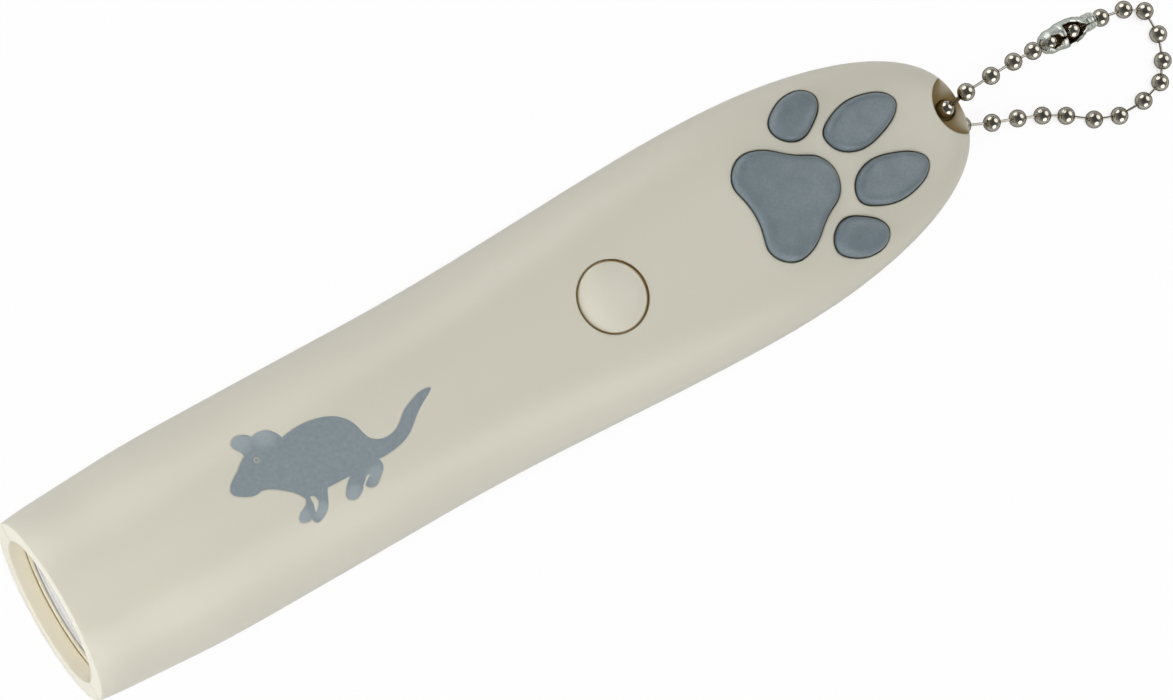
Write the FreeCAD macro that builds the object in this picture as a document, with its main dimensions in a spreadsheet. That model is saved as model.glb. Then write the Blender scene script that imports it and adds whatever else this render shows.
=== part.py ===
# Hand held LED pointer toy: two moulded half shells with a flat paw grip, a push button, a
# picture projector behind the round mouth, two cells under a belly cover and a bead chain.
# X runs from the mouth to the chain, Z is up, and the belly lies on the plane Z = 0.
import FreeCAD, Part
import math
import os
import Sketcher
from FreeCAD import Rotation, Vector

doc = FreeCAD.newDocument("pointer_toy")
sheet = doc.addObject("Spreadsheet::Sheet", "sizes")

# Driving sizes in millimetres. A name that ends in _x is a distance from the mouth's plane.
SIZES = (
    # outline of the body
    ("tail_length", 39.08, "rear case screw to the tail tip"),
    ("mouth_radius", 12.75, "outside of the round mouth"),
    ("mouth_flare", 0.1, "widening behind the mouth, per millimetre"),
    ("swell_x", 24.0, "fullest place of the front"),
    ("swell_half", 13.97, "half width there"),
    ("swell_top", 25.7, "height there"),
    ("waist_x", 55.0, "narrowest place"),
    ("waist_half", 13.68, "half width there"),
    ("waist_top", 23.6, "height there"),
    ("palm_offset", 2.48, "widest place behind the rear case screw"),
    ("palm_half", 15.24, "half width there"),
    ("palm_top", 18.6, "height there"),
    ("tip_rise", 7.0, "height of the parting plane at the tail tip"),
    ("tip_top", 7.0, "height of the top above the parting plane, led on to the tip"),
    ("tip_drop", 5.5, "depth of the belly below the parting plane, led on to the tip"),
    ("cap_length_power", 2.1, "roundness of the tail along its length"),
    ("cap_width_power", 2.35, "roundness of the tail across"),
    ("mouth_lift", 0.06, "mouth's lowest edge above the floor"),
    ("belly_flat", 0.4, "depth that the flat belly takes off the round section"),
    ("belly_start_x", 20.0, "where the belly flat has its full depth"),
    ("front_power", 2.0, "section roundness at the mouth, 2 is a circle"),
    ("waist_power", 2.2, "section roundness at the waist"),
    ("palm_power", 2.8, "section roundness at the paw"),
    ("wall", 1.6, "wall of both shells"),
    # mouth and projector
    ("mouth_lip", 2.1, "length of the mouth's bore in front of the lens ring"),
    ("bore_step", 0.25, "hold of the mouth's bore in front of the lens ring"),
    ("lip_gap", 0.12, "between the lip and the lens ring"),
    ("seat_gap", 0.1, "between pieces that are seated and do not move"),
    ("form_gap", 0.2, "between the inside of the shells and what fills it"),
    ("tube_wall", 1.1, "wall of the projector tube"),
    ("lens_wall", 0.6, "wall of the projector tube round the lens, with the gap"),
    ("tube_length", 34.0, "projector tube"),
    ("tube_front_length", 12.4, "wide front of the tube"),
    ("tube_rear_length", 6.0, "narrow rear of the tube"),
    ("tube_rear_radius", 8.0, "outside of the tube's rear"),
    ("ring_thickness", 0.4, "lens ring along the tube"),
    ("ring_width", 0.6, "lens ring across its band"),
    ("lens_edge", 2.2, "edge of the lens"),
    ("seat_step", 0.3, "step in the tube that the lens sits on"),
    ("lens_front_bulge", 0.7, "crown of the lens towards the mouth"),
    ("lens_rear_bulge", 2.0, "crown of the lens towards the lamp"),
    ("mask_radius", 6.3, "picture mask"),
    ("mask_thickness", 0.4, "picture mask"),
    ("mask_ledge", 1.0, "ledge that the mask is held by"),
    ("mask_picture", 7.0, "length of the picture cut through the mask"),
    ("socket_depth", 5.0, "socket for the mask and the lamp holder"),
    ("holder_length", 6.4, "lamp holder"),
    ("lamp_radius", 2.5, "lamp body"),
    ("lamp_length", 7.2, "lamp, from its dome to its base"),
    ("lamp_flange", 2.9, "radius of the lamp's base ring"),
    ("lamp_flange_length", 1.0, "lamp's base ring"),
    ("lead_width", 0.5, "lamp's square leads"),
    ("lead_pitch", 2.54, "between the lamp's leads"),
    ("lead_length", 2.2, "free length of the leads"),
    ("rib_thickness", 1.8, "ribs that carry the tube's rear"),
    # cells and their box
    ("lamp_space", 8.8, "between the tube and the cell box"),
    ("box_wall", 1.2, "end walls of the cell box"),
    ("box_side_wall", 1.0, "side walls of the cell box"),
    ("box_roof", 1.0, "roof of the cell box"),
    ("cell_radius", 5.25, "cell"),
    ("cell_length", 44.5, "cell with its nub"),
    ("cell_shoulder", 0.5, "slant of the cell's ends"),
    ("cell_nub_radius", 1.9, "nub"),
    ("cell_nub_length", 0.9, "nub"),
    ("cell_spacing", 0.2, "between the two cells"),
    ("cell_floor", 2.85, "height of the cells' lowest lines"),
    ("cell_gap", 0.3, "around the cells"),
    ("contact_thickness", 0.4, "contact plates"),
    ("contact_width", 7.6, "contact plates across"),
    ("tab_width", 1.8, "tabs of the rear contacts, up to the board"),
    ("spring_length", 3.0, "contact springs, pressed"),
    ("spring_radius", 2.7, "middle of the spring's wire"),
    ("spring_wire", 0.3, "radius of the spring's wire"),
    ("spring_turns", 3.0, "turns of a contact spring"),
    # belly cover and screws
    ("cover_reach", 3.42, "cover's opening in front of the cell box"),
    ("cover_half", 10.9, "half width of the cover's opening"),
    ("cover_gap", 0.3, "round the cover"),
    ("opening_height", 7.6, "height that the cover's opening is cut to"),
    ("cover_boss_inset", 2.2, "cover screw behind the cover's front edge"),
    ("screw_radius", 1.0, "screw shank"),
    ("screw_head_radius", 1.9, "screw head"),
    ("screw_head_height", 1.3, "screw head"),
    ("screw_gap", 0.15, "round a shank in its bore"),
    ("head_gap", 0.3, "round a head in its counterbore"),
    ("case_screw_length", 9.0, "shank of a case screw"),
    ("screw_bore_depth", 8.0, "case screws' bores above the parting plane"),
    ("cover_screw_length", 5.0, "shank of the cover screw"),
    ("head_depth_front", 4.6, "height of the front heads' seats"),
    ("head_depth_rear", 3.6, "height of the rear head's seat"),
    ("head_depth_cover", 2.0, "height of the cover screw's seat"),
    ("pillar_wall", 0.6, "wall of the cover's screw seat round the head"),
    ("pillar_roof", 1.0, "wall of the cover's screw seat over the head"),
    ("boss_radius", 2.3, "screw bosses"),
    ("nut_height", 6.0, "post on the cell box that takes the cover screw"),
    ("boss_gap", 0.28, "front bosses behind the projector tube"),
    ("front_boss_y", 8.8, "front case screws, off the middle"),
    # board, switch and button
    ("button_inset", 12.85, "button's axis in front of the rear contacts"),
    ("button_radius", 4.64, "button cap"),
    ("button_gap", 0.25, "between the cap and its hole"),
    ("button_proud", 0.55, "crown of the cap above the shell"),
    ("button_edge_drop", 0.75, "crown of the cap above its own edge"),
    ("button_edge_round", 0.5, "rounding of the cap's edge"),
    ("button_travel", 0.4, "press of the button"),
    ("flange_radius", 5.7, "flange that keeps the button in"),
    ("flange_thickness", 0.8, "flange that keeps the button in"),
    ("collar_wall", 1.2, "collar round the button's hole"),
    ("board_reach", 12.0, "circuit board in front of the button's axis"),
    ("board_width", 15.0, "circuit board"),
    ("board_thickness", 0.8, "circuit board"),
    ("hole_inset", 2.0, "board's holes from its edges"),
    ("hole_radius", 0.8, "board's holes"),
    ("switch_side", 4.5, "switch body"),
    ("switch_height", 1.55, "switch body"),
    ("plunger_radius", 1.1, "switch plunger"),
    ("plunger_rise", 0.7, "plunger above the switch body"),
    ("plunger_depth", 0.6, "plunger inside the switch body"),
    ("clear_gap", 0.3, "between pieces that move and their neighbours"),
    ("resistor_radius", 0.9, "resistor body"),
    ("resistor_length", 4.6, "resistor body"),
    ("resistor_cap_length", 0.9, "resistor's metal end caps"),
    ("resistor_cap_step", 0.1, "resistor's end caps above its waist"),
    ("resistor_inset", 3.6, "resistor's axis from the board's rear edge"),
    ("wire_radius", 0.5, "insulated wires"),
    ("wire_side", 3.2, "lamp wires, off the middle"),
    # paw grip and picture inlay
    ("paw_gap", 0.88, "paw's web behind the rear boss"),
    ("pad_gap", 0.12, "between a pad and its window"),
    ("pad_proud", 1.0, "pads above the shell"),
    ("pad_round", 0.8, "rounding of the pads' edges"),
    ("carrier_thickness", 1.0, "web that joins the pads inside the shell"),
    ("carrier_margin", 1.3, "web beyond the pads"),
    ("mouse_x", 25.15, "nose of the inlaid mouse"),
    ("inlay_depth", 0.4, "thickness of the inlaid mouse"),
    # tail eyelet and chain
    ("eyelet_inset", 2.25, "eyelet's axis from the tail tip"),
    ("eyelet_radius", 1.4, "eyelet's hole"),
    ("scoop_inset", 0.9, "scoops' middle from the tail tip"),
    ("scoop_half_length", 3.45, "scoops along the body"),
    ("scoop_half_width", 4.05, "scoops across the body"),
    ("bar_half_height", 0.95, "half height of the bar between the scoops"),
    ("tail_block", 6.4, "solid length of the tail"),
    ("bead_radius", 1.18, "chain beads"),
    ("link_radius", 0.18, "wire between the beads"),
    ("link_entry", 0.25, "wire inside a bead"),
    ("joint_gap", 0.08, "between a wire and the bead that turns on it"),
    ("clasp_wall", 0.3, "sheet of the clasp"),
    ("clasp_end", 1.1, "clasp's open end before its first bead's middle"),
    ("clasp_end_radius", 1.05, "clasp at its open end"),
    ("clasp_first_radius", 1.6, "clasp round its first bead"),
    ("clasp_fold_radius", 1.8, "folded rim between the clasp's two chambers"),
    ("clasp_throat", 0.85, "inside of the clasp between its two chambers"),
    ("clasp_last_radius", 1.75, "clasp round its second bead"),
    ("clasp_taper", 2.15, "closing end of the clasp behind its second bead"),
    ("clasp_neck_radius", 1.2, "clasp's neck"),
    ("clasp_neck_bore", 0.7, "inside of the clasp's neck"),
    ("clasp_neck_length", 1.45, "clasp's neck"),
    ("clasp_slit_half", 0.7, "half width of the slit over the clasp's first bead"),
    ("clasp_opening_half", 1.3, "half width of the opening over the clasp's second bead"),
    ("chain_reach", 31.1, "chain beyond the tail tip"),
)

# Sizes that follow from the driving ones
FOLLOWING = (
    ("tube_radius", "=mouth_radius - wall - form_gap", "outside of the projector tube's front"),
    ("lens_radius", "=tube_radius - lens_wall", "lens and lens ring"),
    ("bore_radius", "=lens_radius - bore_step", "mouth's bore"),
    ("tube_rear_x", "=mouth_lip + lip_gap + tube_length", "rear end of the projector tube"),
    ("front_boss_x", "=tube_rear_x + boss_gap + boss_radius", "front case screws"),
    ("box_front_x", "=tube_rear_x + lamp_space", "front of the cell box"),
    ("cell_room", "=2 * contact_thickness + spring_length + cell_length + 4 * seat_gap", "inside the box"),
    ("cell_pitch", "=2 * cell_radius + cell_spacing", "between the two cells' axes"),
    ("cell_axis_z", "=cell_floor + cell_radius", "height of the cells' axes"),
    ("box_rear_x", "=box_front_x + 2 * box_wall + cell_room", "rear of the cell box"),
    ("rear_plate_x", "=box_rear_x - box_wall - seat_gap - contact_thickness", "rear contacts"),
    ("cover_front_x", "=box_front_x - cover_reach", "front edge of the cover's opening"),
    ("cover_rear_x", "=box_rear_x - box_wall", "rear edge of the cover's opening"),
    ("button_x", "=rear_plate_x - button_inset", "button's axis"),
    ("rear_boss_x", "=box_rear_x + seat_gap + boss_radius", "rear case screw"),
    ("palm_x", "=rear_boss_x + palm_offset", "widest place"),
    ("paw_x", "=rear_boss_x + boss_radius + paw_gap + carrier_margin", "front edge of the palm pad"),
    ("body_length", "=rear_boss_x + tail_length", "mouth to tail tip"),
    ("mouth_x", "=-(body_length + chain_reach) / 2", "mouth's plane, with the origin amid the footprint"),
)
for row, (alias, value, note) in enumerate(SIZES + FOLLOWING, 1):
    sheet.set(f"A{row}", note)
    sheet.set(f"B{row}", str(value))
    sheet.setAlias(f"B{row}", alias)
doc.recompute()


def size(name):
    return float(sheet.get(name))


def keep_derived(alias, value):
    """Puts a height that the body's form gives into the sheet, so that features can use it."""
    global row
    row += 1
    sheet.set(f"B{row}", repr(round(value, 6)))
    sheet.setAlias(f"B{row}", alias)


# Form of the body

def eased(stations, x):
    """A smooth curve through (place, value, slope) stations."""
    for (x0, v0, m0), (x1, v1, m1) in zip(stations, stations[1:]):
        if x <= x1:
            break
    span = x1 - x0
    t = (x - x0) / span
    rise = v0 * (1 - 3 * t**2 + 2 * t**3) + v1 * (3 * t**2 - 2 * t**3)
    return rise + span * (m0 * (t - 2 * t**2 + t**3) + m1 * (t**3 - t**2))


def tail_cap(x, end):
    """How far the tail has closed at a place: 1 at the palm, 0 at the end."""
    share = max(0.0, (x - size("palm_x")) / (end - size("palm_x")))
    return (1 - min(share, 1.0) ** size("cap_length_power")) ** (1 / size("cap_width_power"))


def parting_height(x):
    return size("mouth_radius") + (size("tip_rise") - size("mouth_radius")) * x / size("body_length")


def half_width(x):
    stations = (
        (0.0, size("mouth_radius"), size("mouth_flare")),
        (size("swell_x"), size("swell_half"), 0.0),
        (size("waist_x"), size("waist_half"), 0.0),
        (size("palm_x"), size("palm_half"), 0.0),
    )
    return eased(stations, min(x, size("palm_x")))


def led_on(x, at_palm, at_tip):
    """A straight run from the palm's value to the tip's, used under the tail's rounding."""
    share = max(0.0, (x - size("palm_x")) / (size("body_length") - size("palm_x")))
    return at_palm + (at_tip - at_palm) * share


def top_depth(x):
    """Height of the top line above the parting plane, before the tail's rounding."""
    waist_slope = (size("palm_top") - size("swell_top")) / (size("palm_x") - size("swell_x"))
    stations = (
        (0.0, 2 * size("mouth_radius"), size("mouth_flare") / 2),
        (size("swell_x"), size("swell_top"), waist_slope / 3),
        (size("waist_x"), size("waist_top"), waist_slope),
        (size("palm_x"), size("palm_top"), waist_slope * 1.3),
    )
    at_front = eased(stations, min(x, size("palm_x"))) - parting_height(min(x, size("palm_x")))
    return led_on(x, at_front, size("tip_top"))


def belly_depth(x):
    """Depth of the belly line below the parting plane, before the tail's rounding."""
    stations = ((0.0, -size("mouth_lift"), 0.0), (size("belly_start_x"), size("belly_flat"), 0.0))
    flat = eased(stations, min(x, size("belly_start_x")))
    at_front = parting_height(min(x, size("palm_x"))) + flat
    return led_on(x, at_front, size("tip_drop"))


def roundness(x):
    stations = (
        (0.0, size("front_power"), 0.0),
        (size("swell_x"), size("front_power"), 0.0),
        (size("waist_x"), size("waist_power"), 0.0),
        (size("palm_x"), size("palm_power"), 0.0),
    )
    return eased(stations, min(x, size("palm_x")))


def top_height(x):
    """Height of the outside of the body over its middle line."""
    return parting_height(x) + top_depth(x) * tail_cap(x, size("body_length"))


def half_section(x, half, depth, power):
    """Upper half of a rounded section, or the lower half with a negative depth."""
    points = []
    steps = 12
    for i in range(steps + 1):
        angle = math.pi * i / steps
        across = math.copysign(abs(math.cos(angle)) ** (2 / power), math.cos(angle))
        up = abs(math.sin(angle)) ** (2 / power) if 0 < i < steps else 0.0
        points.append(Vector(size("mouth_x") + x, half * across, parting_height(x) + depth * up))
    curve = Part.BSplineCurve()
    curve.interpolate(Points=points, Parameters=[i / steps for i in range(steps + 1)])
    return curve.toShape()


def body_form(inset, start, end):
    """The body's outer form, or the same form drawn in by an inset, as one solid."""
    front = [0.0, 0.06, 0.14, 0.24, 0.36, 0.48, 0.6, 0.72, 0.84, 0.93, 1.0]
    tail = [0.22, 0.42, 0.6, 0.74, 0.85, 0.93, 0.975, 0.994, 0.999]
    places = [start + (size("palm_x") - start) * share for share in front]
    places += [size("palm_x") + (end - size("palm_x")) * share for share in tail]
    wires = []
    for x in places:
        closed = tail_cap(x, end)
        half = (half_width(x) - inset) * closed
        upper = half_section(x, half, (top_depth(x) - inset) * closed, roundness(x))
        lower = half_section(x, half, (inset - belly_depth(x)) * closed, roundness(x))
        wires.append(Part.Wire([upper, lower]))
    return Part.makeLoft(wires, True, False, False, 3)


def form_feature(name, shape):
    feature = doc.addObject("Part::Feature", name)
    feature.Shape = shape
    return feature


outer_form = form_feature("outer_form", body_form(0.0, 0.0, size("body_length")))
hollow_end = size("body_length") - size("tail_block")
inner_form = form_feature("inner_form", body_form(size("wall"), size("mouth_lip"), hollow_end))
half_wall = size("wall") / 2
core_form = form_feature("core_form", body_form(half_wall, 0.0, size("body_length") - half_wall))
clear_form = form_feature(
    "clear_form",
    body_form(size("wall") + size("form_gap"), size("mouth_lip") + size("form_gap"), hollow_end),
)

keep_derived("button_surface", top_height(size("button_x")))
keep_derived("front_parting", parting_height(size("front_boss_x")))
keep_derived("rear_parting", parting_height(size("rear_boss_x")))
doc.recompute()

# Places and heights that several pieces share, in the sheet's terms
TUBE_FRONT = "(sizes.mouth_lip + sizes.lip_gap)"
TUBE_REAR = "sizes.tube_rear_x"
LENS_RADIUS = "sizes.lens_radius"
SEAT_BORE = "(sizes.tube_radius - sizes.tube_wall - sizes.seat_step)"
RING_RISE = f"(sizes.lens_front_bulge * (1 - (1 - sizes.ring_width / {LENS_RADIUS}) ^ 2))"
SEAT_RISE = f"(sizes.lens_rear_bulge * (1 - ({SEAT_BORE} / {LENS_RADIUS}) ^ 2))"
LENS_FRONT = f"({TUBE_FRONT} + sizes.ring_thickness + sizes.seat_gap / 2 + {RING_RISE})"
LENS_REAR = f"({LENS_FRONT} + sizes.lens_edge)"
BOX_FRONT = "sizes.box_front_x"
BOX_INSIDE = "(sizes.box_front_x + sizes.box_wall)"
BOX_REAR = "sizes.box_rear_x"
BOX_TOP = "(sizes.cell_axis_z + sizes.cell_radius + sizes.cell_gap + sizes.box_roof)"
BOARD_TOP = f"({BOX_TOP} + sizes.seat_gap + sizes.board_thickness)"
SWITCH_TOP = f"({BOARD_TOP} + sizes.switch_height)"
FLANGE_FOOT = f"({SWITCH_TOP} + sizes.plunger_rise)"
FRONT_PLATE = f"({BOX_INSIDE} + sizes.seat_gap)"
SPRING_SIDE = f"({FRONT_PLATE} + sizes.contact_thickness)"
REAR_PLATE = "sizes.rear_plate_x"
AXIS_Z = "sizes.mouth_radius"


def value_of(expression):
    result = sheet.evalExpression(str(expression))
    return float(getattr(result, "Value", result))


# Helpers that make bound features

def bind(feature, **expressions):
    for name, expression in expressions.items():
        feature.setExpression(name.replace("__", "."), str(expression))
    return feature


def placed(feature, x="0", y="0", z="0"):
    """Sets a feature's place; x is measured from the mouth."""
    return bind(
        feature,
        Placement__Base__x=f"sizes.mouth_x + {x}",
        Placement__Base__y=y,
        Placement__Base__z=z,
    )


def box(name, x, y, z, length, width, height):
    """A box by its low corner and its sizes."""
    feature = doc.addObject("Part::Box", name)
    return placed(bind(feature, Length=length, Width=width, Height=height), x, y, z)


def upright(name, x, y, z, radius, height):
    """A cylinder that stands on z."""
    feature = doc.addObject("Part::Cylinder", name)
    return placed(bind(feature, Radius=radius, Height=height), x, y, z)


def lengthwise(name, x, y, z, radius, length):
    """A cylinder that lies along X from x."""
    feature = doc.addObject("Part::Cylinder", name)
    feature.Placement.Rotation = Rotation(Vector(0, 1, 0), 90)
    return placed(bind(feature, Radius=radius, Height=length), x, y, z)


def cut(name, base, tool):
    feature = doc.addObject("Part::Cut", name)
    feature.Base, feature.Tool = base, tool
    return feature


def fuse(name, shapes):
    feature = doc.addObject("Part::MultiFuse", name)
    feature.Shapes = shapes
    return feature


def common(name, shapes):
    feature = doc.addObject("Part::MultiCommon", name)
    feature.Shapes = shapes
    return feature


def turned_body(name, profile, about="H_Axis"):
    """A PartDesign body turned from a closed profile of (along, radius) expressions."""
    body = doc.addObject("PartDesign::Body", name)
    plane = [f for f in body.Origin.OriginFeatures if f.Role == "XZ_Plane"][0]
    sketch = body.newObject("Sketcher::SketchObject", name + "_profile")
    sketch.AttachmentSupport = (plane, [""])
    sketch.MapMode = "FlatFace"
    corners = [Vector(value_of(u), value_of(v), 0) for u, v in profile]
    for i, corner in enumerate(corners):
        sketch.addGeometry(Part.LineSegment(corner, corners[(i + 1) % len(corners)]), False)
    for i in range(len(corners)):
        sketch.addConstraint(Sketcher.Constraint("Coincident", i, 2, (i + 1) % len(corners), 1))
    for i, (u, v) in enumerate(profile):
        for kind, expression, axis in (("DistanceX", u, -2), ("DistanceY", v, -1)):
            if expression == "0":
                sketch.addConstraint(Sketcher.Constraint("PointOnObject", i, 1, axis))
                continue
            k = sketch.addConstraint(Sketcher.Constraint(kind, i, 1, value_of(expression)))
            sketch.setExpression(f"Constraints[{k}]", expression)
    turn = body.newObject("PartDesign::Revolution", name + "_turn")
    turn.Profile = sketch
    turn.ReferenceAxis = (sketch, [about])
    turn.Angle = 360
    return body


def group(name, features):
    """Several like pieces as one node of separate solids."""
    feature = doc.addObject("Part::Compound", name)
    feature.Links = features
    return feature


# Outlines seen from above, in millimetres from their own corner

def pad_wire(outline, gap):
    """A smooth closed outline, widened by a gap along each point's own outward way."""
    points = []
    turning = sum(a[0] * b[1] - b[0] * a[1] for a, b in zip(outline, outline[1:] + outline[:1]))
    side = math.copysign(1.0, turning)
    for before, here, after in zip(outline[-1:] + outline[:-1], outline, outline[1:] + outline[:1]):
        outward = Vector(after[1] - before[1], before[0] - after[0], 0) * side
        outward.normalize()
        corner = Vector(size("mouth_x") + size("paw_x") + here[0], here[1], 0)
        points.append(corner + outward * gap)
    curve = Part.BSplineCurve()
    curve.interpolate(Points=points, PeriodicFlag=True)
    return Part.Wire([curve.toShape()])


def stroke_wire(strokes, x, scale=1.0):
    """Smooth strokes that meet at corners."""
    edges = []
    for stroke in strokes:
        points = [Vector(x + scale * u, scale * v, 0) for u, v in stroke]
        if len(points) == 2:
            edges.append(Part.LineSegment(*points).toShape())
            continue
        curve = Part.BSplineCurve()
        curve.interpolate(Points=points)
        edges.append(curve.toShape())
    return Part.Wire(edges)


def prism(wire, low, high):
    """A wall sided solid over an outline, from one height to another."""
    face = Part.Face(wire)
    face.translate(Vector(0, 0, low))
    return face.extrude(Vector(0, 0, high - low))


PALM_HALF = ((13.4, 0.0), (12.9, 1.9), (11.9, 3.1), (10.0, 4.1), (8.1, 5.4), (6.3, 6.8), (4.6, 7.5),
             (3.2, 7.65), (1.7, 7.1), (0.55, 6.0), (0.0, 4.5), (0.3, 3.0), (0.65, 1.4))
PALM_PAD = list(PALM_HALF) + [(u, -v) for u, v in reversed(PALM_HALF[1:])]
OUTER_TOE = [(8.4, 8.4), (9.2, 6.8), (11.4, 5.8), (14.0, 6.85), (15.8, 8.3), (16.35, 9.7),
             (15.6, 11.0), (13.3, 11.65), (10.3, 10.8)]
INNER_TOE = [(14.35, 4.15), (15.4, 2.1), (18.5, 0.9), (22.0, 1.55), (24.8, 2.9), (25.8, 4.3),
             (25.0, 5.75), (22.9, 6.8), (19.9, 7.25), (16.4, 6.4)]
PADS = [PALM_PAD, OUTER_TOE, INNER_TOE]
PADS += [[(u, -v) for u, v in toe] for toe in (OUTER_TOE, INNER_TOE)]
MOUSE = (
    [(0.0, 2.0), (0.5, 2.8), (2.1, 3.85), (3.3, 4.75), (3.95, 5.1)],
    [(3.95, 5.1), (3.8, 5.9), (3.35, 6.9), (3.8, 7.6), (4.7, 7.8), (5.6, 7.45), (6.15, 6.75)],
    [(6.15, 6.75), (7.1, 6.9), (8.3, 6.6), (9.05, 5.8), (9.4, 4.85)],
    [(9.4, 4.85), (11.9, 5.15), (14.9, 4.75), (17.3, 3.45), (18.5, 1.5), (19.1, -0.4), (21.1, -1.45),
     (23.4, -0.75), (24.7, 0.3), (26.5, 1.1), (28.3, 1.5), (29.3, 1.3), (27.6, 0.1), (25.6, -1.25),
     (23.9, -2.55), (21.6, -3.3), (18.9, -3.4)],
    [(18.9, -3.4), (19.0, -4.5), (18.0, -5.6), (17.0, -6.15), (16.2, -5.9), (15.85, -5.45)],
    [(15.85, -5.45), (16.35, -5.0), (17.0, -4.6)],
    [(17.0, -4.6), (16.8, -4.4), (16.2, -4.75), (15.6, -5.3)],
    [(15.6, -5.3), (14.9, -6.1), (13.9, -6.35), (13.0, -5.7), (13.3, -4.8), (14.7, -3.5)],
    [(14.7, -3.5), (11.3, -3.4)],
    [(11.3, -3.4), (10.8, -4.4), (10.3, -5.5), (9.2, -6.4), (8.3, -6.6), (7.75, -5.8)],
    [(7.75, -5.8), (6.9, -5.9), (6.2, -5.4), (6.6, -4.6), (7.5, -4.1), (8.1, -3.3)],
    [(8.1, -3.3), (7.4, -2.2), (5.9, -0.9), (4.5, 0.0), (3.5, 0.3)],
    [(3.5, 0.3), (2.4, 0.2), (1.0, 0.8), (0.15, 1.5), (0.0, 2.0)],
)
MOUSE_LENGTH = 29.3
LEG_SLIT = (
    [(8.74, -3.3), (9.3, -3.6), (9.45, -4.3), (9.1, -4.9), (8.55, -5.35)],
    [(8.55, -5.35), (8.6, -4.9), (8.72, -4.4), (8.7, -3.8), (8.74, -3.3)],
)

# Cutting tools reach this far over the body, beyond it and past a face
ABOVE = 40.0
BEYOND = 20.0
PAST = 1.0


def pad_wires(gap):
    return [pad_wire(pad, gap) for pad in PADS]


def mouse_wall():
    """The wall sided solid over the mouse's outline, without the slit between its front legs."""
    outline, slit = [
        prism(stroke_wire(strokes, size("mouth_x") + size("mouse_x")), size("mouth_radius"), ABOVE)
        for strokes in (MOUSE, LEG_SLIT)
    ]
    return outline.cut(slit)


def moved(shape, x=0.0, y=0.0, z=0.0):
    copy = shape.copy()
    copy.translate(Vector(x, y, z))
    return copy


# Both half shells

def screw_places():
    """Name, place, parting height and seat height of each case screw."""
    front = ("sizes.front_boss_x", "sizes.front_parting", "sizes.head_depth_front")
    return (
        ("front_left", front[0], "sizes.front_boss_y", front[1], front[2]),
        ("front_right", front[0], "-sizes.front_boss_y", front[1], front[2]),
        ("rear", "sizes.rear_boss_x", "0", "sizes.rear_parting", "sizes.head_depth_rear"),
    )


def boss_set(tag, from_parting):
    """Screw bosses, trimmed to the inside of the shells: above or below the parting plane."""
    parts = []
    for name, x, y, parting, _ in screw_places():
        foot = parting if from_parting else "0"
        parts.append(upright(f"{tag}_boss_{name}", x, y, foot, "sizes.boss_radius", f"{ABOVE}"))
    return parts


def screw_bores(tag, radius_gap):
    return [
        upright(f"{tag}_bore_{name}", x, y, f"-{PAST}", f"sizes.screw_radius + {radius_gap}",
                f"{PAST} + {parting} + sizes.screw_bore_depth")
        for name, x, y, parting, _ in screw_places()
    ]


over_parting = doc.addObject("Part::Box", "over_parting")
over_parting.Placement.Rotation = Rotation(Vector(0, 1, 0), 1)
PARTING_FALL = "((sizes.mouth_radius - sizes.tip_rise) / sizes.body_length)"
bind(
    over_parting,
    Length=f"sizes.body_length + 2 * {BEYOND}",
    Width=f"2 * {ABOVE}",
    Height=f"{ABOVE}",
    Placement__Rotation__Angle=f"atan({PARTING_FALL})",
)
placed(over_parting, f"-{BEYOND}", f"-{ABOVE}", f"sizes.mouth_radius + {BEYOND} * {PARTING_FALL}")
under_floor = box("under_floor", f"-{BEYOND}", f"-{ABOVE}", f"-{BEYOND}",
                  f"sizes.body_length + 2 * {BEYOND}", f"2 * {ABOVE}", f"{BEYOND}")

mouth_bore = lengthwise("mouth_bore", f"-{PAST}", "0", AXIS_Z, "sizes.bore_radius",
                        f"sizes.mouth_lip + 2 * {PAST}")
RIB_X = f"({TUBE_REAR} - sizes.tube_rear_length / 2 - sizes.rib_thickness / 2)"
rib_block = box("rib_block", RIB_X, f"-{ABOVE}", "0", "sizes.rib_thickness", f"2 * {ABOVE}", f"{ABOVE}")
rib_bore = lengthwise("rib_bore", "0", "0", AXIS_Z, "sizes.tube_rear_radius + sizes.seat_gap", TUBE_REAR)
rib_ring = cut("rib_ring", rib_block, rib_bore)
ribs = common("ribs", [rib_ring, core_form])

collar_foot = f"({FLANGE_FOOT} + sizes.flange_thickness + sizes.clear_gap)"
collar_post = upright("collar_post", "sizes.button_x", "0", collar_foot,
                      "sizes.button_radius + sizes.button_gap + sizes.collar_wall", f"{ABOVE}")
collar = common("collar", [collar_post, core_form])

hull = cut("hull", outer_form, inner_form)
hull_open = cut("hull_open", hull, mouth_bore)
hull_flat = cut("hull_flat", hull_open, under_floor)


# Tail eyelet: two scoops that leave a bar, and a hole beside the bar

def oval_post(name, z, height):
    """An upright post with an oval section at the scoops' place."""
    ellipse = doc.addObject("Part::Ellipse", name + "_oval")
    ellipse.Placement.Rotation = Rotation(Vector(0, 0, 1), 90)
    bind(ellipse, MajorRadius="sizes.scoop_half_width", MinorRadius="sizes.scoop_half_length")
    placed(ellipse, "sizes.body_length - sizes.scoop_inset", "0", z)
    post = doc.addObject("Part::Extrusion", name)
    post.Base = ellipse
    post.DirMode = "Custom"
    post.Dir = Vector(0, 0, 1)
    post.Solid = True
    return bind(post, LengthFwd=height)


upper_scoop = oval_post("upper_scoop", "sizes.tip_rise + sizes.bar_half_height", f"{BEYOND}")
lower_scoop = oval_post("lower_scoop", f"-{BEYOND}", f"{BEYOND} + sizes.tip_rise - sizes.bar_half_height")
eyelet = upright("eyelet", "sizes.body_length - sizes.eyelet_inset", "0", "0",
                 "sizes.eyelet_radius", f"{ABOVE}")
eyelet_cuts = fuse("eyelet_cuts", [upper_scoop, lower_scoop, eyelet])

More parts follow.
